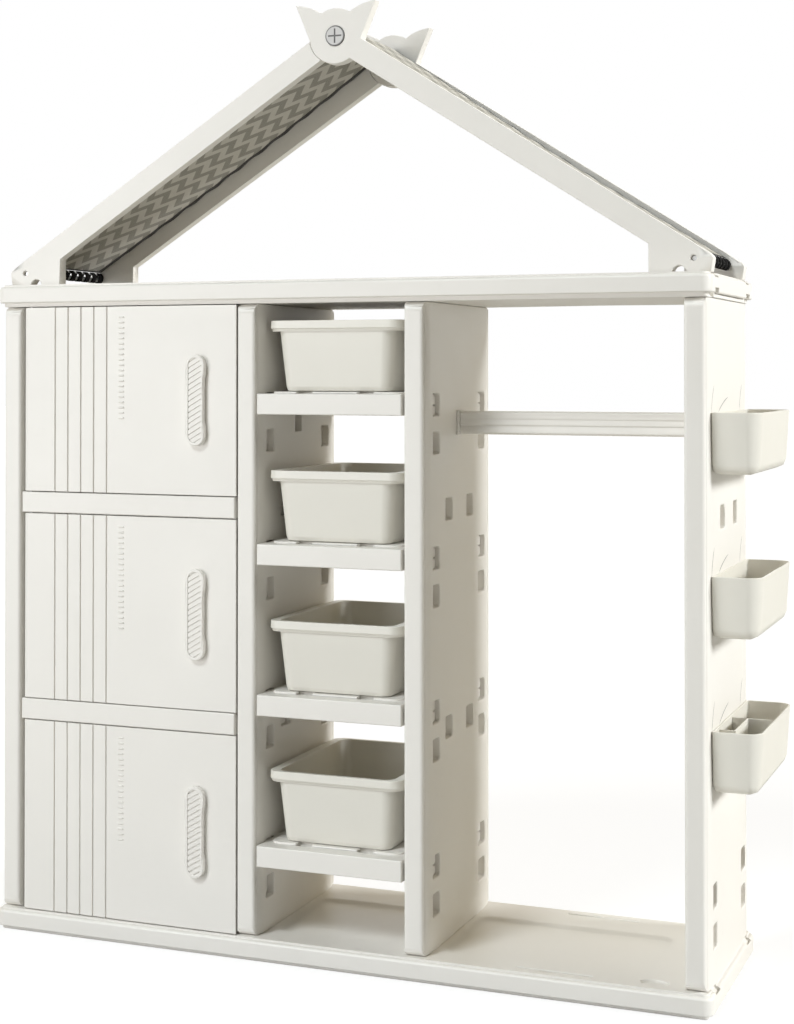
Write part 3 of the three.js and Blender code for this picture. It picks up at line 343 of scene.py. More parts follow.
def faults(mesh, surface):
    """Places where rounding has folded a face over."""
    places = []
    folded = set()
    for face in mesh.polygons:
        if len(face.vertices) > 3 and face.area > SLIVER:
            found = crossings([mesh.vertices[i].co for i in face.vertices], face.normal)
            if found:
                folded.add(face.index)
                places.extend(found)
    mesh.calc_loop_triangles()
    for part in mesh.loop_triangles:
        if part.polygon_index not in folded and part.area > 100 * SLIVER:
            points = [mesh.vertices[i].co for i in part.vertices]
            if surface.find_nearest(sum(points, Vector()) / 3)[1].dot(part.normal) < TURNED_OVER:
                places.extend(point.copy() for point in points)
    return places


def shown(name, data):
    """An object with this mesh, light or camera, put in the scene."""
    thing = bpy.data.objects.new(name, data)
    bpy.context.scene.collection.objects.link(thing)
    return thing


def evaluated_mesh(piece):
    """A plain mesh of the piece with its modifiers."""
    bpy.context.view_layer.update()
    graph = bpy.context.evaluated_depsgraph_get()
    return bpy.data.meshes.new_from_object(piece.evaluated_get(graph))


def settled(piece):
    """The piece's modifiers turned into its plain mesh."""
    mesh = evaluated_mesh(piece)
    piece.modifiers.clear()
    piece.data = mesh
    piece.data.name = piece.name
    return piece


def keep_flats_flat(piece):
    """Shading that leaves the flat faces flat and turns only over the roundings."""
    weighted = piece.modifiers.new("flat faces stay flat", "WEIGHTED_NORMAL")
    weighted.mode = "FACE_AREA"
    weighted.weight = 100
    weighted.keep_sharp = True


def rounded_copy(node, material, *, edge, flat_below=FLAT_BELOW):
    """A moulding on a CAD node's own form: its triangles joined, then its outward edges rounded.

    An edge is rounded less, or stays sharp, where the faces beside it leave too little room.
    """
    source = frame["nodes"][node]
    mesh = source.data.copy()
    mesh.materials.clear()
    shape = bmesh.new()
    shape.from_mesh(mesh)
    bmesh.ops.remove_doubles(shape, verts=shape.verts, dist=MERGE_WITHIN)
    surface = BVHTree.FromBMesh(shape)
    joined_flats(shape)
    weights = shape.edges.layers.float.new("bevel_weight_edge")
    for line in shape.edges:
        if line.is_convex and line.calc_face_angle(0.0) > math.radians(flat_below):
            room = min(room_beside(line, face) for face in line.link_faces)
            line[weights] = max(0.05, min(1.0, ROOM_SHARE * room / edge))
    for face in shape.faces:
        face.smooth = True
    piece = shown(node + "_moulded", mesh)
    bevel = piece.modifiers.new("rounded edges", "BEVEL")
    bevel.width = edge
    bevel.segments = 3
    bevel.limit_method = "WEIGHT"
    bevel.use_clamp_overlap = False
    bevel.loop_slide = False
    keep_flats_flat(piece)
    for _ in range(ROUNDING_TRIES):
        shape.to_mesh(mesh)
        places = faults(evaluated_mesh(piece), surface)
        tight = [line for line in shape.edges if line[weights] > 0.0 and any(
            (on_line(line.verts[0].co, line.verts[1].co, place) - place).length < NEAR_FAULT * edge
            for place in places
        )]
        if not tight:
            break
        for line in tight:
            line[weights] = 0.0
    for line in shape.edges:
        line.smooth = line[weights] > 0.0 or line.calc_face_angle(0.0) < math.radians(flat_below)
    shape.to_mesh(mesh)
    shape.free()
    settled(piece)
    piece.data.materials.append(material)
    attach(piece, source["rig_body"])
    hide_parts(node)
    return piece


rounded_copy("base_board", ivory_plastic, edge=BOARD_EDGE)


# The four upright panels: one blow-moulded form used four times, with a rounded post strip down the front
# and the rear edge and a moulded groove beside it. Windows go right through where a hook needs them and
# are shallow pockets elsewhere. The panels stand in sockets of the two boards.

for name in ("side_panel_left", "partition_left", "partition_right", "side_panel_right"):
    rounded_copy(name, ivory_plastic, edge=0.0024)


# Thin raised arcs on the outer face of the right end panel, moulded in above each hooked bin: a plain
# ornament, a quarter of a millimetre proud, so that a bin clears it when it is lifted off its hooks.

ARC_HALF_WIDTH = 0.0010
ARC_PROUD = 0.00025
ARC_TIP = 0.25              # share of its width that an arc has left at its ends
ARC_STEPS = 16
ARC_SIDES = 6
ARC_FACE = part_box("side_panel_right")[1].x
ARC_BOWS = (
    ((-0.130, 0.000), (-0.1235, 0.020), (-0.111, 0.040)),
    ((-0.078, 0.000), (-0.046, 0.012), (-0.006, 0.021)),
    ((0.0855, 0.000), (0.0915, 0.021), (0.105, 0.039)),
)

# Painted shade: the beads are coloured at under half the panel's brightness, so that each arc reads as a
# dark shadow line.
shaded_plastic = moulded_plastic("shaded_plastic", tint(IVORY, 0.45), roughness=0.5)


def skinned(name, rings, smooth=True):
    """A closed mesh through rings with as many points each, and a flat cap at either end."""
    shape = bmesh.new()
    rings = [[shape.verts.new(point) for point in ring] for ring in rings]
    count = len(rings[0])
    for a, b in zip(rings, rings[1:]):
        for k in range(count):
            shape.faces.new((a[k], a[(k + 1) % count], b[(k + 1) % count], b[k]))
    shape.faces.new(list(reversed(rings[0])))
    shape.faces.new(rings[-1])
    bmesh.ops.recalc_face_normals(shape, faces=shape.faces)
    for face in shape.faces:
        face.smooth = smooth
    mesh = bpy.data.meshes.new(name)
    shape.to_mesh(mesh)
    shape.free()
    return mesh


def arc_bead(name, bow, height):
    """A thin low bead on the panel's face through the bow's three places (along the panel, up)."""
    outward = Vector((1, 0, 0))
    points = []
    for i in range(ARC_STEPS + 1):
        t = i / ARC_STEPS
        weights = ((1 - t) * (1 - 2 * t), 4 * t * (1 - t), t * (2 * t - 1))
        along, up = (sum(w * place[k] for w, place in zip(weights, bow)) for k in range(2))
        points.append(Vector((ARC_FACE, along, up + height)))
    rings = []
    for i, point in enumerate(points):
        across = outward.cross(points[min(i + 1, ARC_STEPS)] - points[max(i - 1, 0)]).normalized()
        taper = min(1.0, ARC_TIP + 4.0 * min(i, ARC_STEPS - i) / ARC_STEPS)
        angles = [2 * math.pi * k / ARC_SIDES for k in range(ARC_SIDES)]
        rings.append([
            point + (across * (math.cos(a) * ARC_HALF_WIDTH) + outward * (math.sin(a) * ARC_PROUD)) * taper
            for a in angles
        ])
    piece = shown(name, skinned(name, rings))
    piece.data.materials.append(shaded_plastic)
    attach(piece, "cabinet")


for level in ("top", "middle", "bottom"):
    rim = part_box(f"side_bin_{level}")[1].z
    for place, bow in zip(("front", "middle", "rear"), ARC_BOWS):
        arc_bead(f"arc_{place}_{level}", bow, rim)


# The cupboards' inner pieces: two shelves whose front edges show as bars between the doors, plain back
# panels in the boards' slots, and a small catch block for each door on the left partition. All of them
# are moulded in the panels' plastic.

for name in ("cupboard_shelf_lower", "cupboard_shelf_upper"):
    rounded_copy(name, ivory_plastic, edge=0.0022)
for place in ("bottom", "middle", "top"):
    rounded_copy(f"back_panel_{place}", ivory_plastic, edge=0.0008)
    rounded_copy(f"door_catch_{place}", ivory_plastic, edge=0.0012)


# The three doors: hollow moulded leaves with five lapped steps beside the hinge edge and a thin lip along
# the free edge. Each turns on one steel rod that runs through its rounded edge into the shelves.
# A column of small raised pips stands beside the steps.

PIP_COUNT = 20
PIP_PITCH = 0.00865
PIP_LENGTH = 0.0105
PIP_WIDTH = 0.0034
PIP_SIDES = 12
PIP_LAYERS = ((0.0004, 1.0), (-0.0003, 1.0), (-0.0014, 0.55))   # depth from the door's face, share of width
PIP_FROM_EDGE = 0.1865
PIP_FROM_TOP = 0.0175


def node_tree(name, inputs):
    """An empty Geometry Nodes tree with named inputs and one geometry output, and its input sockets."""
    tree = bpy.data.node_groups.new(name, "GeometryNodeTree")
    for label, kind in inputs.items():
        tree.interface.new_socket(name=label, in_out="INPUT", socket_type="NodeSocket" + kind)
    tree.interface.new_socket(name="Geometry", in_out="OUTPUT", socket_type="NodeSocketGeometry")
    return tree, grow(tree, "NodeGroupInput").outputs


def grow(tree, kind, settings=None, links=None):
    """One node of the tree with its settings and the sockets or values that feed it."""
    node = tree.nodes.new(kind)
    for key, value in (settings or {}).items():
        setattr(node, key, value)
    for key, value in (links or {}).items():
        if isinstance(value, bpy.types.NodeSocket):
            tree.links.new(value, node.inputs[key])
        else:
            node.inputs[key].default_value = value
    return node


def spread(tree, given, shape):
    """Copies in a straight row as plain geometry. The shape is given as the sockets that it feeds."""
    line = grow(tree, "GeometryNodeMeshLine", {"mode": "OFFSET"}, {
        "Count": given["Count"], "Start Location": given["Start"], "Offset": given["Pitch"],
    })
    copies = grow(tree, "GeometryNodeInstanceOnPoints", {}, {"Points": line.outputs["Mesh"], **shape})
    solid = grow(tree, "GeometryNodeRealizeInstances", {}, {"Geometry": copies.outputs["Instances"]})
    return solid.outputs["Geometry"]


def coat(tree, given, geometry):
    """The tree's last two nodes: the geometry gets its material and goes out."""
    coated = grow(tree, "GeometryNodeSetMaterial", {}, {"Geometry": geometry, "Material": given["Finish"]})
    grow(tree, "NodeGroupOutput", {}, {"Geometry": coated.outputs["Geometry"]})


def made_by(tree, name, **values):
    """A plain mesh object made by the tree with these values for its named inputs."""
    piece = shown(name, bpy.data.meshes.new(name))
    modifier = piece.modifiers.new("made", "NODES")
    modifier.node_group = tree
    for item in tree.interface.items_tree:
        if item.item_type == "SOCKET" and item.in_out == "INPUT":
            modifier[item.identifier] = values[item.name]
    return settled(piece)


row_tree, given = node_tree("row of one shape", {
    "Shape": "Object", "Count": "Int", "Start": "Vector", "Pitch": "Vector", "Finish": "Material",
})
shape = grow(row_tree, "GeometryNodeObjectInfo", {}, {"Object": given["Shape"]})
coat(row_tree, given, spread(row_tree, given, {"Instance": shape.outputs["Geometry"]}))


def pip_mesh():
    """A low rounded bar, lying across the column, its flat back in the door's face."""
    radius = PIP_WIDTH / 2
    rings = []
    for depth, share in PIP_LAYERS:
        ring = []
        for k in range(PIP_SIDES):
            angle = 2 * math.pi * k / PIP_SIDES
            straight = math.copysign(PIP_LENGTH / 2 - radius, math.cos(angle))
            along, up = math.cos(angle) * radius * share, math.sin(angle) * radius * share
            ring.append((straight + along, depth, up))
        rings.append(ring)
    return skinned("pip", rings)


pip = bpy.data.objects.new("pip", pip_mesh())
for place in ("top", "middle", "bottom"):
    rounded_copy(f"door_{place}", ivory_plastic, edge=0.0010)
    low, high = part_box(f"door_{place}")
    pips = made_by(
        row_tree, f"door_pips_{place}", Shape=pip, Count=PIP_COUNT, Pitch=(0.0, 0.0, -PIP_PITCH),
        Start=(low.x + PIP_FROM_EDGE, low.y, high.z - PIP_FROM_TOP), Finish=ivory_plastic,
    )
    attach(pips, f"door_{place}")


# The door handles: upright stadium-shaped grips with a raised rim and fine slanting ribs in the sunk face,
# moulded in one and clipped to the door.

RIB_COUNT = 17
RIB_PITCH = 0.0089
RIB_WIDTH = 0.0062
RIB_LENGTH = 0.040
RIB_DEPTH = 0.004
RIB_PROUD = 0.0018
RIB_ROOT = 0.0008           # how deep the ribs are rooted in the sunk face
RIB_OVERLAP = 0.0003        # and in the rim
RIB_SLOPE = math.radians(30.0)
HANDLE_RIM = 0.0050
HANDLE_SINK = 0.0030
BED_SIDES = 48

rib_tree, given = node_tree("slanting ribs", {
    "Start": "Vector", "Pitch": "Vector", "Count": "Int", "Rib": "Vector", "Slope": "Float",
    "Bed": "Object", "Finish": "Material",
})
bar = grow(rib_tree, "GeometryNodeMeshCube", {}, {"Size": given["Rib"]})
turn = grow(rib_tree, "ShaderNodeCombineXYZ", {}, {"Y": given["Slope"]})
ribs = spread(rib_tree, given, {"Instance": bar.outputs["Mesh"], "Rotation": turn.outputs["Vector"]})
bed = grow(rib_tree, "GeometryNodeObjectInfo", {}, {"Object": given["Bed"]})
trimmed = grow(rib_tree, "GeometryNodeMeshBoolean", {"operation": "INTERSECT", "solver": "EXACT"})
rib_tree.links.new(ribs, trimmed.inputs["Mesh 2"])
rib_tree.links.new(bed.outputs["Geometry"], trimmed.inputs["Mesh 2"])
coat(rib_tree, given, trimmed.outputs["Mesh"])


def rib_bed(x, z, wide, high, front, back):
    """An upright rounded bar with flat front and back, to which the ribs are trimmed."""
    radius = wide / 2
    rings = []
    for y in (front, back):
        ring = []
        for k in range(BED_SIDES):
            angle = 2 * math.pi * k / BED_SIDES
            lift = math.copysign(high / 2 - radius, math.sin(angle))
            ring.append((x + radius * math.cos(angle), y, z + lift + radius * math.sin(angle)))
        rings.append(ring)
    return bpy.data.objects.new("rib bed", skinned("rib bed", rings, smooth=False))


for place in ("top", "middle", "bottom"):
    rounded_copy(f"handle_{place}", ivory_plastic, edge=0.0013)
    low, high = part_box(f"handle_{place}")
    x, z = (low.x + high.x) / 2, (low.z + high.z) / 2
    floor_y = low.y + HANDLE_SINK
    inset = 2 * (HANDLE_RIM - RIB_OVERLAP)
    bed_object = rib_bed(
        x, z, high.x - low.x - inset, high.z - low.z - inset, floor_y - RIB_PROUD, floor_y + RIB_ROOT,
    )
    ribs = made_by(
        rib_tree, f"handle_ribs_{place}", Count=RIB_COUNT, Pitch=(0.0, 0.0, RIB_PITCH),
        Start=(x, floor_y, z - (RIB_COUNT - 1) / 2 * RIB_PITCH),
        Rib=(RIB_LENGTH, RIB_DEPTH, RIB_WIDTH), Slope=-RIB_SLOPE, Bed=bed_object, Finish=ivory_plastic,
    )
    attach(ribs, f"door_{place}")
    bpy.data.objects.remove(bed_object)


# The hinge rods: plain drawn steel, zinc plated. There is one for each door, through its rounded edge, and
# its ends stand in the shelf or board above and below.

STEEL = (0.60, 0.60, 0.59)


def plated_steel(name, colour, roughness):
    """Drawn steel with a dull zinc plate: fine marks and cloudy gloss."""
    finish = Finish(name)
    marks = finish.noise(scale=900.0, detail=4.0)
    cloud = finish.noise(scale=45.0, detail=4.0)
    finish.shade(
        Base_Color=finish.blend(finish.ramp(cloud, 0.35, 0.65), tint(colour, 0.9), tint(colour, 1.05)),
        Metallic=1.0,
        Roughness=roughness + (cloud - 0.5) * 0.2 + (marks - 0.5) * 0.1,
        Normal=finish.relief(marks * 0.00001),
    )
    return finish.material


zinc_steel = plated_steel("zinc_steel", STEEL, roughness=0.35)
for place in ("top", "middle", "bottom"):
    rounded_copy(f"hinge_pin_{place}", zinc_steel, edge=0.0005)


# The tray shelves: moulded slabs with a raised seat for the bin and two cut-outs in the seat's front edge.
# Their hooks stand in the windows of the two partitions.

for number in range(1, 5):
    rounded_copy(f"tray_shelf_{number}", ivory_plastic, edge=BOARD_EDGE)


# The pull-out bins: thin injection-moulded tubs with a wide hollow rim that turns down all round and ends
# in a narrow ledge. They rest loose on the tray shelves, slightly glossier and greener than the panels.

BIN_COLOUR = (0.780, 0.758, 0.690)
BIN_WALL = 0.0026
BIN_RIM = 0.017             # height of the rim's outer face
BIN_LEAN = 0.0004           # how far that face leans in toward its top
BIN_SIDE_RIM = 0.013        # width of the rim along the sides
BIN_END_RIM = 0.005         # and along the ends
BIN_LEDGE = 0.0044          # height of the ledge
BIN_STEP = 0.0014           # how far the ledge stands back at the sides
BIN_END_STEP = 0.0039       # and at the ends
BIN_END_HOLLOW = 0.0043     # inner face of the ledge at the ends
BIN_SIDE_TAPER = 0.010
BIN_END_TAPER = 0.010
BIN_FOOT = 0.006            # rounding round the floor
BIN_EDGE = 0.0009           # rounding of all other edges
BIN_CORNER = 0.019          # upright corners at the rim
BIN_FLOOR_CORNER = 0.013    # and at the floor
CORNER_STEPS = 8

bin_plastic = moulded_plastic("bin_plastic", BIN_COLOUR, roughness=0.36, waves=0.0002, skin=0.000015)


def corner_ring(x0, x1, y0, y1, radius, z):
    """A rounded rectangle at one height, corner by corner."""
    points = []
    for cx, cy, start in (
        (x1 - radius, y0 + radius, -0.5), (x1 - radius, y1 - radius, 0.0),
        (x0 + radius, y1 - radius, 0.5), (x0 + radius, y0 + radius, 1.0),
    ):
        for i in range(CORNER_STEPS + 1):
            angle = math.pi * (start + 0.5 * i / CORNER_STEPS)
            points.append((cx + radius * math.cos(angle), cy + radius * math.sin(angle), z))
    return points


def toward(here, other, amount):
    """From one row of a profile toward another by this amount, but never as far as the middle."""
    distance = max(abs(o - h) for o, h in zip(other[:2] + other[3:], here[:2] + here[3:]))
    share = min(0.45, amount / max(distance, TINY))
    return tuple(h + (o - h) * share for o, h in zip(other, here))


def rounded_profile(rows, radius, steps=3):
    """A profile of (side inset, end inset, corner, height) rows with every turn but the ends rounded."""
    result = [rows[0]]
    for before, here, after in zip(rows, rows[1:], rows[2:]):
        start, end = toward(here, before, radius), toward(here, after, radius)
        for i in range(steps + 1):
            t = i / steps
            result.append(tuple(
                (1 - t) ** 2 * s + 2 * t * (1 - t) * h + t * t * e for s, h, e in zip(start, here, end)
            ))
    return result + [rows[-1]]


def bin_profile(foot, top):
    """From the outside of the floor up the wall, round the hollow rim and down the inside to the floor."""
    side = BIN_SIDE_RIM + BIN_SIDE_TAPER
    end = BIN_END_RIM + BIN_END_TAPER
    under = top - BIN_WALL
    rim = top - BIN_RIM
    floor_turn = 0.2 * BIN_FOOT
    return [
        (side + BIN_FOOT, end + BIN_FOOT, BIN_FLOOR_CORNER, foot),
        (side + floor_turn, end + floor_turn, BIN_FLOOR_CORNER + 0.003, foot + floor_turn),
        (side - 0.001, end - 0.001, BIN_FLOOR_CORNER + 0.004, foot + BIN_FOOT + 0.0015),
        (BIN_SIDE_RIM + 0.0015, BIN_END_RIM + 0.0015, BIN_CORNER, rim - 0.007),
        (BIN_SIDE_RIM - 0.001, BIN_END_RIM - 0.0005, BIN_CORNER, under),
        (BIN_WALL + BIN_STEP, BIN_END_HOLLOW, BIN_CORNER - 0.002, under),
        (BIN_WALL + BIN_STEP, BIN_END_HOLLOW, BIN_CORNER - 0.002, rim),
        (BIN_STEP, BIN_END_STEP, BIN_CORNER - 0.001, rim),
        (BIN_STEP, BIN_END_STEP, BIN_CORNER - 0.001, rim + BIN_LEDGE),
        (0.0, 0.0, BIN_CORNER, rim + BIN_LEDGE),
        (BIN_LEAN, BIN_LEAN, BIN_CORNER, top),
        (BIN_SIDE_RIM + BIN_WALL, BIN_END_RIM + BIN_WALL, BIN_CORNER - 0.003, top),
        (side + BIN_WALL, end + BIN_WALL, BIN_FLOOR_CORNER + 0.002, foot + BIN_FOOT + 0.004),
        (side + BIN_FOOT + BIN_WALL, end + BIN_FOOT + BIN_WALL, BIN_FLOOR_CORNER - 0.002, foot + BIN_WALL),
    ]


for number in range(1, 5):
    low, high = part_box(f"bin_{number}")
    name = f"bin_tub_{number}"
    tub = shown(name, skinned(name, [
        corner_ring(low.x + side, high.x - side, low.y + end, high.y - end, corner, z)
        for side, end, corner, z in rounded_profile(bin_profile(low.z, high.z), BIN_EDGE)
    ]))
    keep_flats_flat(tub)
    settled(tub)
    tub.data.materials.append(bin_plastic)
    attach(tub, f"bin_{number}")
    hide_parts(f"bin_{number}")


# The hanging rail: a ribbed moulded bar across the right bay, plugged at each end into a square flange
# that stands in a pocket of the panel. Rail and flanges are of the panels' plastic.

rounded_copy("hanging_rail", ivory_plastic, edge=0.0010)
for side in ("left", "right"):
    rounded_copy(f"rail_flange_{side}", ivory_plastic, edge=0.0016)


# The side bins: thin moulded pockets with round lower edges that hang by two lugs in the windows of the
# right end panel. The lowest holds a loose divider of thin plates.

for place in ("top", "middle", "bottom"):
    rounded_copy(f"side_bin_{place}", bin_plastic, edge=0.0008, flat_below=50.0)
rounded_copy("side_bin_divider", bin_plastic, edge=0.0005)


# The top board: the base board's moulding again, with the roof standing in its sockets and a lock bar
# pushed into the riser over each end panel.

rounded_copy("top_board", ivory_plastic, edge=BOARD_EDGE)
for side in ("left", "right"):
    rounded_copy(f"lock_bar_{side}", ivory_plastic, edge=0.0006)


# The roof frames: two pairs of moulded rafters with upright feet. The right rafter of each pair ends in an
# eared disc, slotted for the tongue of the left one.

for place in ("front", "rear"):
    for side in ("left", "right"):
        rounded_copy(f"rafter_{place}_{side}", ivory_plastic, edge=0.0018)


# The ridge screws, bar and plugs: a large moulded cross-head screw through each disc bites into the plug of
# the ridge bar, a plated steel tube. The cross and a ring round the head are darkened with painted shade.

RIDGE_LOW, RIDGE_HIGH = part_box("ridge_bar")
RIDGE_AXIS = (RIDGE_LOW.z + RIDGE_HIGH.z) / 2
SCREW_COLOUR = (0.63, 0.62, 0.61)
PAINTED_SHADE_COLOUR = (0.10, 0.10, 0.10)
SCREW_RIM = 0.0138
CROSS_HALF_WIDTH = 0.0011
CROSS_HALF_LENGTH = 0.0110

screw_finish = Finish("screw_plastic")
beside, _, height = screw_finish.axes()
above = height - RIDGE_AXIS
radius = screw_finish.math("SQRT", beside * beside + above * above)
rim = screw_finish.ramp(radius, SCREW_RIM, SCREW_RIM + 0.0008)
from_arm = screw_finish.math("MINIMUM", abs(beside), abs(above))
recess = screw_finish.ramp(from_arm, CROSS_HALF_WIDTH + 0.0003, CROSS_HALF_WIDTH) * screw_finish.ramp(
    radius, CROSS_HALF_LENGTH + 0.0006, CROSS_HALF_LENGTH,
)
# Painted shade: the ring just outside the head and the arms of the cross are darkened, standing in for the
# shadow in the gap round the head and in the cross recess.
painted_gap_shade = screw_finish.math("MAXIMUM", rim, recess)
mottle = screw_finish.noise(scale=260.0, detail=3.0)
screw_finish.shade(
    Base_Color=screw_finish.blend(painted_gap_shade * (0.72 + mottle * 0.2), SCREW_COLOUR, PAINTED_SHADE_COLOUR),
    Roughness=0.36 + mottle * 0.1 + painted_gap_shade * 0.3,
    Normal=screw_finish.relief(mottle * 0.00004),
    IOR=1.5,
)
for place in ("front", "rear"):
    rounded_copy(f"ridge_screw_{place}", screw_finish.material, edge=0.0005)
    rounded_copy(f"ridge_bar_plug_{place}", ivory_plastic, edge=0.0005)
rounded_copy("ridge_bar", zinc_steel, edge=0.0004)


# The eave rods: thin plated steel bars from the front frame to the rear one, through the holes in the
# rafters' feet. The cloth's loops hold on to them.

for side in ("left", "right"):
    rounded_copy(f"eave_rod_{side}", zinc_steel, edge=0.0006)


# The canopy: one strip of woven two-tone chevron cloth over the ridge bar, bound in black along both long
# edges and pulled down to the eave rods, so that it lies nearly flat with faint ripples at its edges.

CLOTH_LIGHT = (0.600, 0.580, 0.525)
CLOTH_DARK = (0.310, 0.296, 0.255)
CLOTH_BLACK = (0.012, 0.012, 0.011)
CLOTH_SAG = 0.0060
CLOTH_THICK = 0.0012
CLOTH_ROWS = 44
CLOTH_LOW, CLOTH_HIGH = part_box("canopy_cloth")
CLOTH_HALF = (CLOTH_HIGH.y - CLOTH_LOW.y) / 2
CLOTH_MIDDLE = (CLOTH_HIGH.y + CLOTH_LOW.y) / 2
CHEVRON_PERIOD = 0.0373
CHEVRON_WIDTH = 0.0483
CHEVRON_REACH = 0.0240
CHEVRON_SHIFT = 0.0080
THREAD_PITCH = 0.0009
BINDING = 0.0125
HEM_BAND = 0.0040
HEM = 1.1050                # height of the two hems
RIDGE_RADIUS = (RIDGE_HIGH.z - RIDGE_LOW.z) / 2 + 0.0003 + CLOTH_THICK / 2
EAVE = (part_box("eave_rod_right")[0].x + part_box("eave_rod_right")[1].x) / 2
SLOPE_STEPS = 96
RIDGE_STEPS = 8
RIPPLE = 0.0016
RIPPLE_PITCH = 0.052
RIPPLE_FROM = 0.62          # share of the half width where the ripples begin


def canopy_line():
    """Points (x, z) of the cloth from hem to hem over the ridge bar, and how far along it each one is."""
    run = math.hypot(EAVE, RIDGE_AXIS - HEM)
    slope = math.atan2(RIDGE_AXIS - HEM, EAVE) + math.asin(RIDGE_RADIUS / run)
    touch = (RIDGE_RADIUS * math.sin(slope), RIDGE_AXIS + RIDGE_RADIUS * math.cos(slope))
    points = []
    for i in range(SLOPE_STEPS):
        t = i / SLOPE_STEPS
        points.append((-EAVE + (EAVE - touch[0]) * t, HEM + (touch[1] - HEM) * t))
    for i in range(RIDGE_STEPS + 1):
        angle = -slope + 2 * slope * i / RIDGE_STEPS
        points.append((RIDGE_RADIUS * math.sin(angle), RIDGE_AXIS + RIDGE_RADIUS * math.cos(angle)))
    points += [(-x, z) for x, z in reversed(points[:SLOPE_STEPS])]
    distances = [0.0]
    for a, b in zip(points, points[1:]):
        distances.append(distances[-1] + math.hypot(b[0] - a[0], b[1] - a[1]))
    return points, distances


def woven_chevron():
    """Two-tone chevron cloth with its black binding, on the sheet's own UV map in metres."""
    finish = Finish("chevron_cloth")
    sheet_place = finish.add("ShaderNodeUVMap", {"uv_map": "cloth"}, {})
    along, across, _ = finish.axes(sheet_place)
    saw = finish.math("PINGPONG", across + CHEVRON_SHIFT, CHEVRON_WIDTH / 2)
    lean = saw * (CHEVRON_REACH / (CHEVRON_WIDTH / 2))
    blur = finish.noise(scale=60.0) * 0.0012
    phase = finish.math("PINGPONG", along + lean + blur, CHEVRON_PERIOD / 2)
    dark = finish.ramp(phase, CHEVRON_PERIOD / 4 - 0.0007, CHEVRON_PERIOD / 4 + 0.0007)
    warp, weft = (finish.math("SINE", way * (2 * math.pi / THREAD_PITCH)) for way in (along, across))
    slub = finish.noise(scale=1.0, detail=3.0, vector=finish.add(
        "ShaderNodeVectorMath", {"operation": "MULTIPLY"}, {0: sheet_place, 1: (120.0, 900.0, 1.0)},
    ))
    side_band = finish.ramp(abs(across), CLOTH_HALF - BINDING - 0.0002, CLOTH_HALF - BINDING + 0.0002)
    hem_band = finish.ramp(along, HEM_BAND + 0.0002, HEM_BAND - 0.0002)
    bound = finish.math("MAXIMUM", side_band, hem_band)
    yarn = finish.ramp(slub, 0.3, 0.7)
    light = finish.blend(yarn, tint(CLOTH_LIGHT, 0.90), tint(CLOTH_LIGHT, 1.06))
    deep = finish.blend(yarn, tint(CLOTH_DARK, 0.88), tint(CLOTH_DARK, 1.08))
    finish.shade(
        Base_Color=finish.blend(bound, finish.blend(dark, light, deep), CLOTH_BLACK),
        Roughness=0.92 - slub * 0.08,
        Normal=finish.relief(warp * weft * 0.00008 + slub * 0.00008 + bound * 0.0004),
        Specular_IOR_Level=0.25,
        Sheen_Weight=0.25,
        Sheen_Roughness=0.5,
    )
    return finish.material


line_points, line_distances = canopy_line()
half_run = line_distances[-1] / 2
shape = bmesh.new()
uv = shape.loops.layers.uv.new("cloth")
grid = []
for (x, z), s in zip(line_points, line_distances):
    column = []
    slack = math.sin(math.pi * min(1.0, abs(s - half_run) / half_run))
    for j in range(CLOTH_ROWS + 1):
        y = -1.0 + 2.0 * j / CLOTH_ROWS
        edge_share = max(0.0, (abs(y) - RIPPLE_FROM) / (1.0 - RIPPLE_FROM)) ** 2
        ripple = RIPPLE * edge_share * slack * math.sin(2 * math.pi * s / RIPPLE_PITCH + 1.9 * y)
        lift = ripple - CLOTH_SAG * slack
        column.append(shape.verts.new((x, CLOTH_MIDDLE + y * (CLOTH_HALF - 0.0004), z + lift)))
    grid.append(column)
for i in range(len(grid) - 1):
    for j in range(CLOTH_ROWS):
        corners = ((i, j), (i, j + 1), (i + 1, j + 1), (i + 1, j))
        face = shape.faces.new([grid[a][b] for a, b in corners])
        face.smooth = True
        for loop, (a, b) in zip(face.loops, corners):
            distance = abs(line_distances[a] - half_run)
            loop[uv].uv = (half_run - distance, (-1.0 + 2.0 * b / CLOTH_ROWS) * CLOTH_HALF)
bmesh.ops.recalc_face_normals(shape, faces=shape.faces)
mesh = bpy.data.meshes.new("canopy_sheet")
shape.to_mesh(mesh)
shape.free()
canopy = shown("canopy_sheet", mesh)
thick = canopy.modifiers.new("cloth", "SOLIDIFY")
thick.thickness = CLOTH_THICK
thick.offset = 0.0
settled(canopy)
canopy.data.materials.append(woven_chevron())
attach(canopy, "cabinet")
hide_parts("canopy_cloth")


# The elastic loops: short black woven straps sewn to a tape under each hem. Each is passed round the eave
# rod, and together they keep the cloth taut.

LOOP_COUNT = 10
LOOP_WIDTH = 0.0142
LOOP_THICK = 0.0016
LOOP_EDGE = 0.0004
LOOP_TOP = 0.0118
LOOP_BULGE = 0.0066
ROD_RADIUS = 0.0040
ROD_ROOM = 0.0004
TAPE_THICK = 0.0020
TAPE_HEIGHT = 0.0040
WALE_PITCH = 0.0014

elastic = Finish("black_elastic")
wale = elastic.math("SINE", elastic.axes()[1] * (2 * math.pi / WALE_PITCH))
fuzz = elastic.noise(scale=700.0, detail=3.0)
elastic.shade(
    Base_Color=elastic.blend(elastic.ramp(fuzz, 0.3, 0.7), (0.005, 0.005, 0.005), (0.013, 0.012, 0.012)),
    Roughness=0.92 + fuzz * 0.08,
    Normal=elastic.relief(wale * 0.00012 + fuzz * 0.00008),
    Specular_IOR_Level=0.12,
)


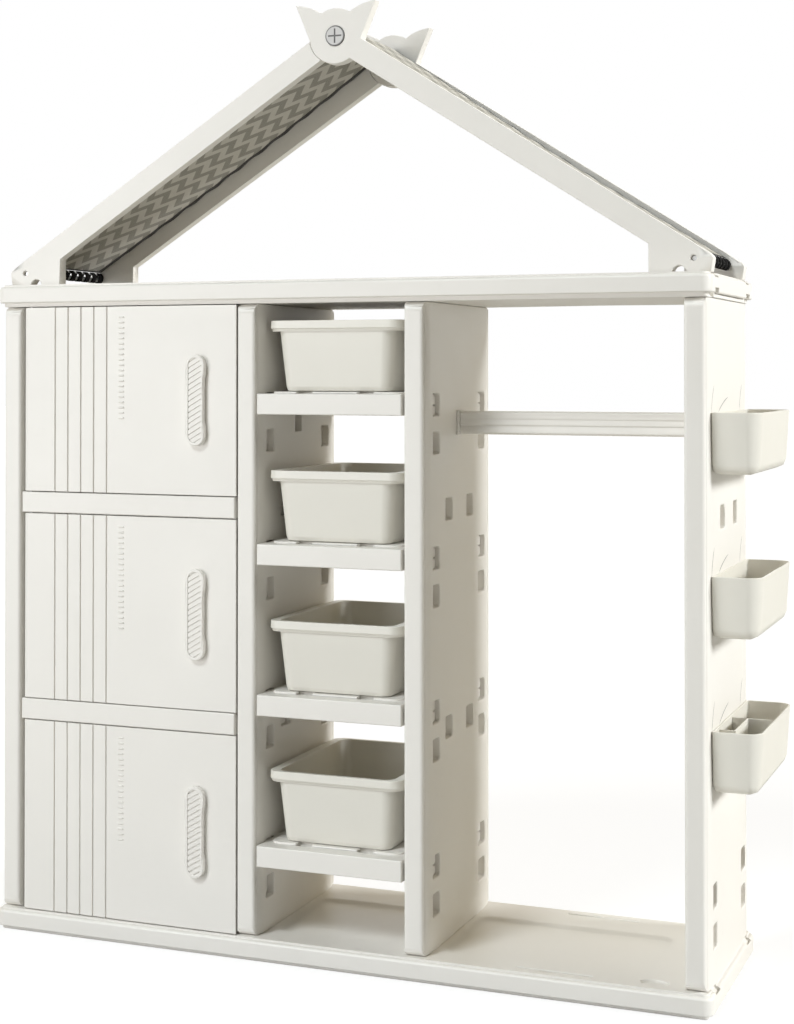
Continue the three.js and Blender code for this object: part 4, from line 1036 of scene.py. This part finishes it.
def loop_mesh():
    """A strap that passes under the rod and up to the hem on both sides, with thinned edges."""
    radius = ROD_RADIUS + ROD_ROOM + LOOP_THICK / 2
    line = []
    for i in range(13):
        angle = math.pi * (1.15 + 0.70 * i / 12.0)
        line.append((radius * math.cos(angle), radius * math.sin(angle)))
    side = [
        (LOOP_BULGE * 0.90, 0.0002), (LOOP_BULGE, 0.0034), (LOOP_BULGE * 0.92, 0.0064),
        (LOOP_BULGE * 0.62, 0.0094), (LOOP_THICK * 0.60, LOOP_TOP),
    ]
    line = [(-x, z) for x, z in reversed(side)] + line + side
    half = LOOP_THICK / 2
    thin = 0.4 * half
    section = ((0.0, thin), (LOOP_EDGE, half), (LOOP_WIDTH - LOOP_EDGE, half), (LOOP_WIDTH, thin))
    rings = []
    for i, (x, z) in enumerate(line):
        before, after = line[max(i - 1, 0)], line[min(i + 1, len(line) - 1)]
        dx, dz = after[0] - before[0], after[1] - before[1]
        length = math.hypot(dx, dz)
        nx, nz = dz / length, -dx / length
        outer = [(x + nx * h, y, z + nz * h) for y, h in section]
        inner = [(x - nx * h, y, z - nz * h) for y, h in reversed(section)]
        rings.append(outer + inner)
    return skinned("loop", rings)


strap = bpy.data.objects.new("strap", loop_mesh())
for side in ("left", "right"):
    low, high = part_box(f"elastic_loops_{side}")
    rod_low, rod_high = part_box(f"eave_rod_{side}")
    rod_x, rod_z = (rod_low.x + rod_high.x) / 2, (rod_low.z + rod_high.z) / 2
    straps = made_by(
        row_tree, f"elastic_straps_{side}", Shape=strap, Count=LOOP_COUNT, Start=(rod_x, low.y, rod_z),
        Pitch=(0.0, (high.y - low.y - LOOP_WIDTH) / (LOOP_COUNT - 1), 0.0), Finish=elastic.material,
    )
    tape = bmesh.new()
    tape.from_mesh(straps.data)
    for vert in bmesh.ops.create_cube(tape, size=1.0)["verts"]:
        vert.co = Vector((
            rod_x + vert.co.x * TAPE_THICK,
            (low.y + high.y) / 2 + vert.co.y * (high.y - low.y),
            high.z - TAPE_HEIGHT / 2 + vert.co.z * TAPE_HEIGHT,
        ))
    tape.to_mesh(straps.data)
    tape.free()
    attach(straps, "cabinet")
    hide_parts(f"elastic_loops_{side}")


# The studio: a plain pale floor that glows a little toward the camera and runs out into a white backdrop,
# soft light from the front left, above and the right, and the photograph's viewpoint.

WHITE = (1.0, 1.0, 1.0, 1.0)
FLOOR_HALF = 40.0
FLOOR_DROP = 0.0002
FLOOR_COLOUR = (0.58, 0.58, 0.575, 1.0)
FLOOR_GLOW = 1.34
FLOOR_GLOW_SHARE = 0.62
AMBIENT_COLOUR = (1.0, 0.82, 0.48, 1.0)
AMBIENT_FROM = (0.0, 0.68, 0.26)
AMBIENT_LEAST = 0.05
FRONT_LIGHT_AT = Vector((-2.6, -4.2, 1.0))
FRONT_LIGHT_AIM = Vector((0.0, 0.0, 0.70))
PHOTO_WIDTH = 794
FOCAL_PIXELS = 1800.4
SHIFT_PIXELS = -161.4
SENSOR = 36.0

floor_finish = Finish("studio_floor")
floor_finish.shade(Base_Color=FLOOR_COLOUR, Roughness=0.9, Specular_IOR_Level=0.1)
to_camera = floor_finish.add("ShaderNodeLightPath", {}, {}, "Is Camera Ray")
glow = floor_finish.add("ShaderNodeEmission", {}, {"Color": WHITE, "Strength": FLOOR_GLOW})
floor_finish.fill(floor_finish.surface, {"Surface": floor_finish.add("ShaderNodeMixShader", {}, {
    0: to_camera * FLOOR_GLOW_SHARE, 1: floor_finish.shader, 2: glow,
})})
floor_mesh = bpy.data.meshes.new("studio_floor")
floor_mesh.from_pydata([
    (x * FLOOR_HALF, y * FLOOR_HALF, -FLOOR_DROP) for x, y in ((-1, -1), (1, -1), (1, 1), (-1, 1))
], [], [(0, 1, 2, 3)])
floor = shown("studio_floor", floor_mesh)
floor_mesh.materials.append(floor_finish.material)

world = bpy.data.worlds.new("studio")
bpy.context.scene.world = world
world.use_nodes = True
sky = Nodes(world.node_tree)
from_there = sky.add("ShaderNodeVectorMath", {"operation": "DOT_PRODUCT"}, {
    0: sky.add("ShaderNodeTexCoord", {}, {}, "Generated"), 1: AMBIENT_FROM,
}, "Value")
ambient = sky.add("ShaderNodeBackground", {}, {
    "Color": AMBIENT_COLOUR, "Strength": sky.math("MAXIMUM", from_there, AMBIENT_LEAST),
})
page = sky.add("ShaderNodeBackground", {}, {"Color": WHITE, "Strength": 1.0})
rays = sky.add("ShaderNodeLightPath", {}, {}).link.node.outputs
straight, bounced, passed = (
    Value(sky, rays[kind]) for kind in ("Is Camera Ray", "Is Glossy Ray", "Is Transmission Ray")
)
seen = sky.math("MAXIMUM", sky.math("MAXIMUM", straight, bounced), passed)
sky.fill(sky.tree.nodes.new("ShaderNodeOutputWorld"), {
    "Surface": sky.add("ShaderNodeMixShader", {}, {0: seen, 1: ambient, 2: page}),
})


def light(name, kind, strength, colour, direction, place=(0.0, 0.0, 0.0)):
    """A light that shines from this direction."""
    data = bpy.data.lights.new(name, kind)
    data.energy = strength
    data.color = colour
    body = shown(name, data)
    body.location = place
    body.rotation_euler = direction.to_track_quat("Z", "Y").to_euler()
    return data


def lamp(name, strength, azimuth, elevation, colour):
    """A broad far light that comes from this side (0 is the front, 90 the right) and height."""
    a, e = math.radians(azimuth), math.radians(elevation)
    direction = Vector((math.sin(a) * math.cos(e), -math.cos(a) * math.cos(e), math.sin(e)))
    light(name, "SUN", strength, colour, direction).angle = math.radians(16.0)


soft_box = light(
    "front_light", "AREA", 86.0, (0.972, 0.972, 0.99), FRONT_LIGHT_AT - FRONT_LIGHT_AIM, FRONT_LIGHT_AT,
)
soft_box.shape = "SQUARE"
soft_box.size = 2.2
lamp("high_light", 1.52, azimuth=-22.0, elevation=45.0, colour=(0.905, 0.97, 1.0))
lamp("right_light", 3.20, azimuth=95.0, elevation=20.0, colour=(0.958, 0.982, 1.0))

camera_data = bpy.data.cameras.new("camera")
camera_data.sensor_fit = "HORIZONTAL"
camera_data.sensor_width = SENSOR
camera_data.lens = FOCAL_PIXELS / PHOTO_WIDTH * SENSOR
camera_data.shift_y = SHIFT_PIXELS / PHOTO_WIDTH
camera_data.clip_end = 200.0
camera = shown("camera", camera_data)
camera.location = (1.1195, -2.7233, 0.9245)
camera.rotation_euler = (math.radians(90.703), 0.0, math.radians(21.39))
bpy.context.scene.camera = camera
bpy.context.scene.view_settings.view_transform = "Standard"
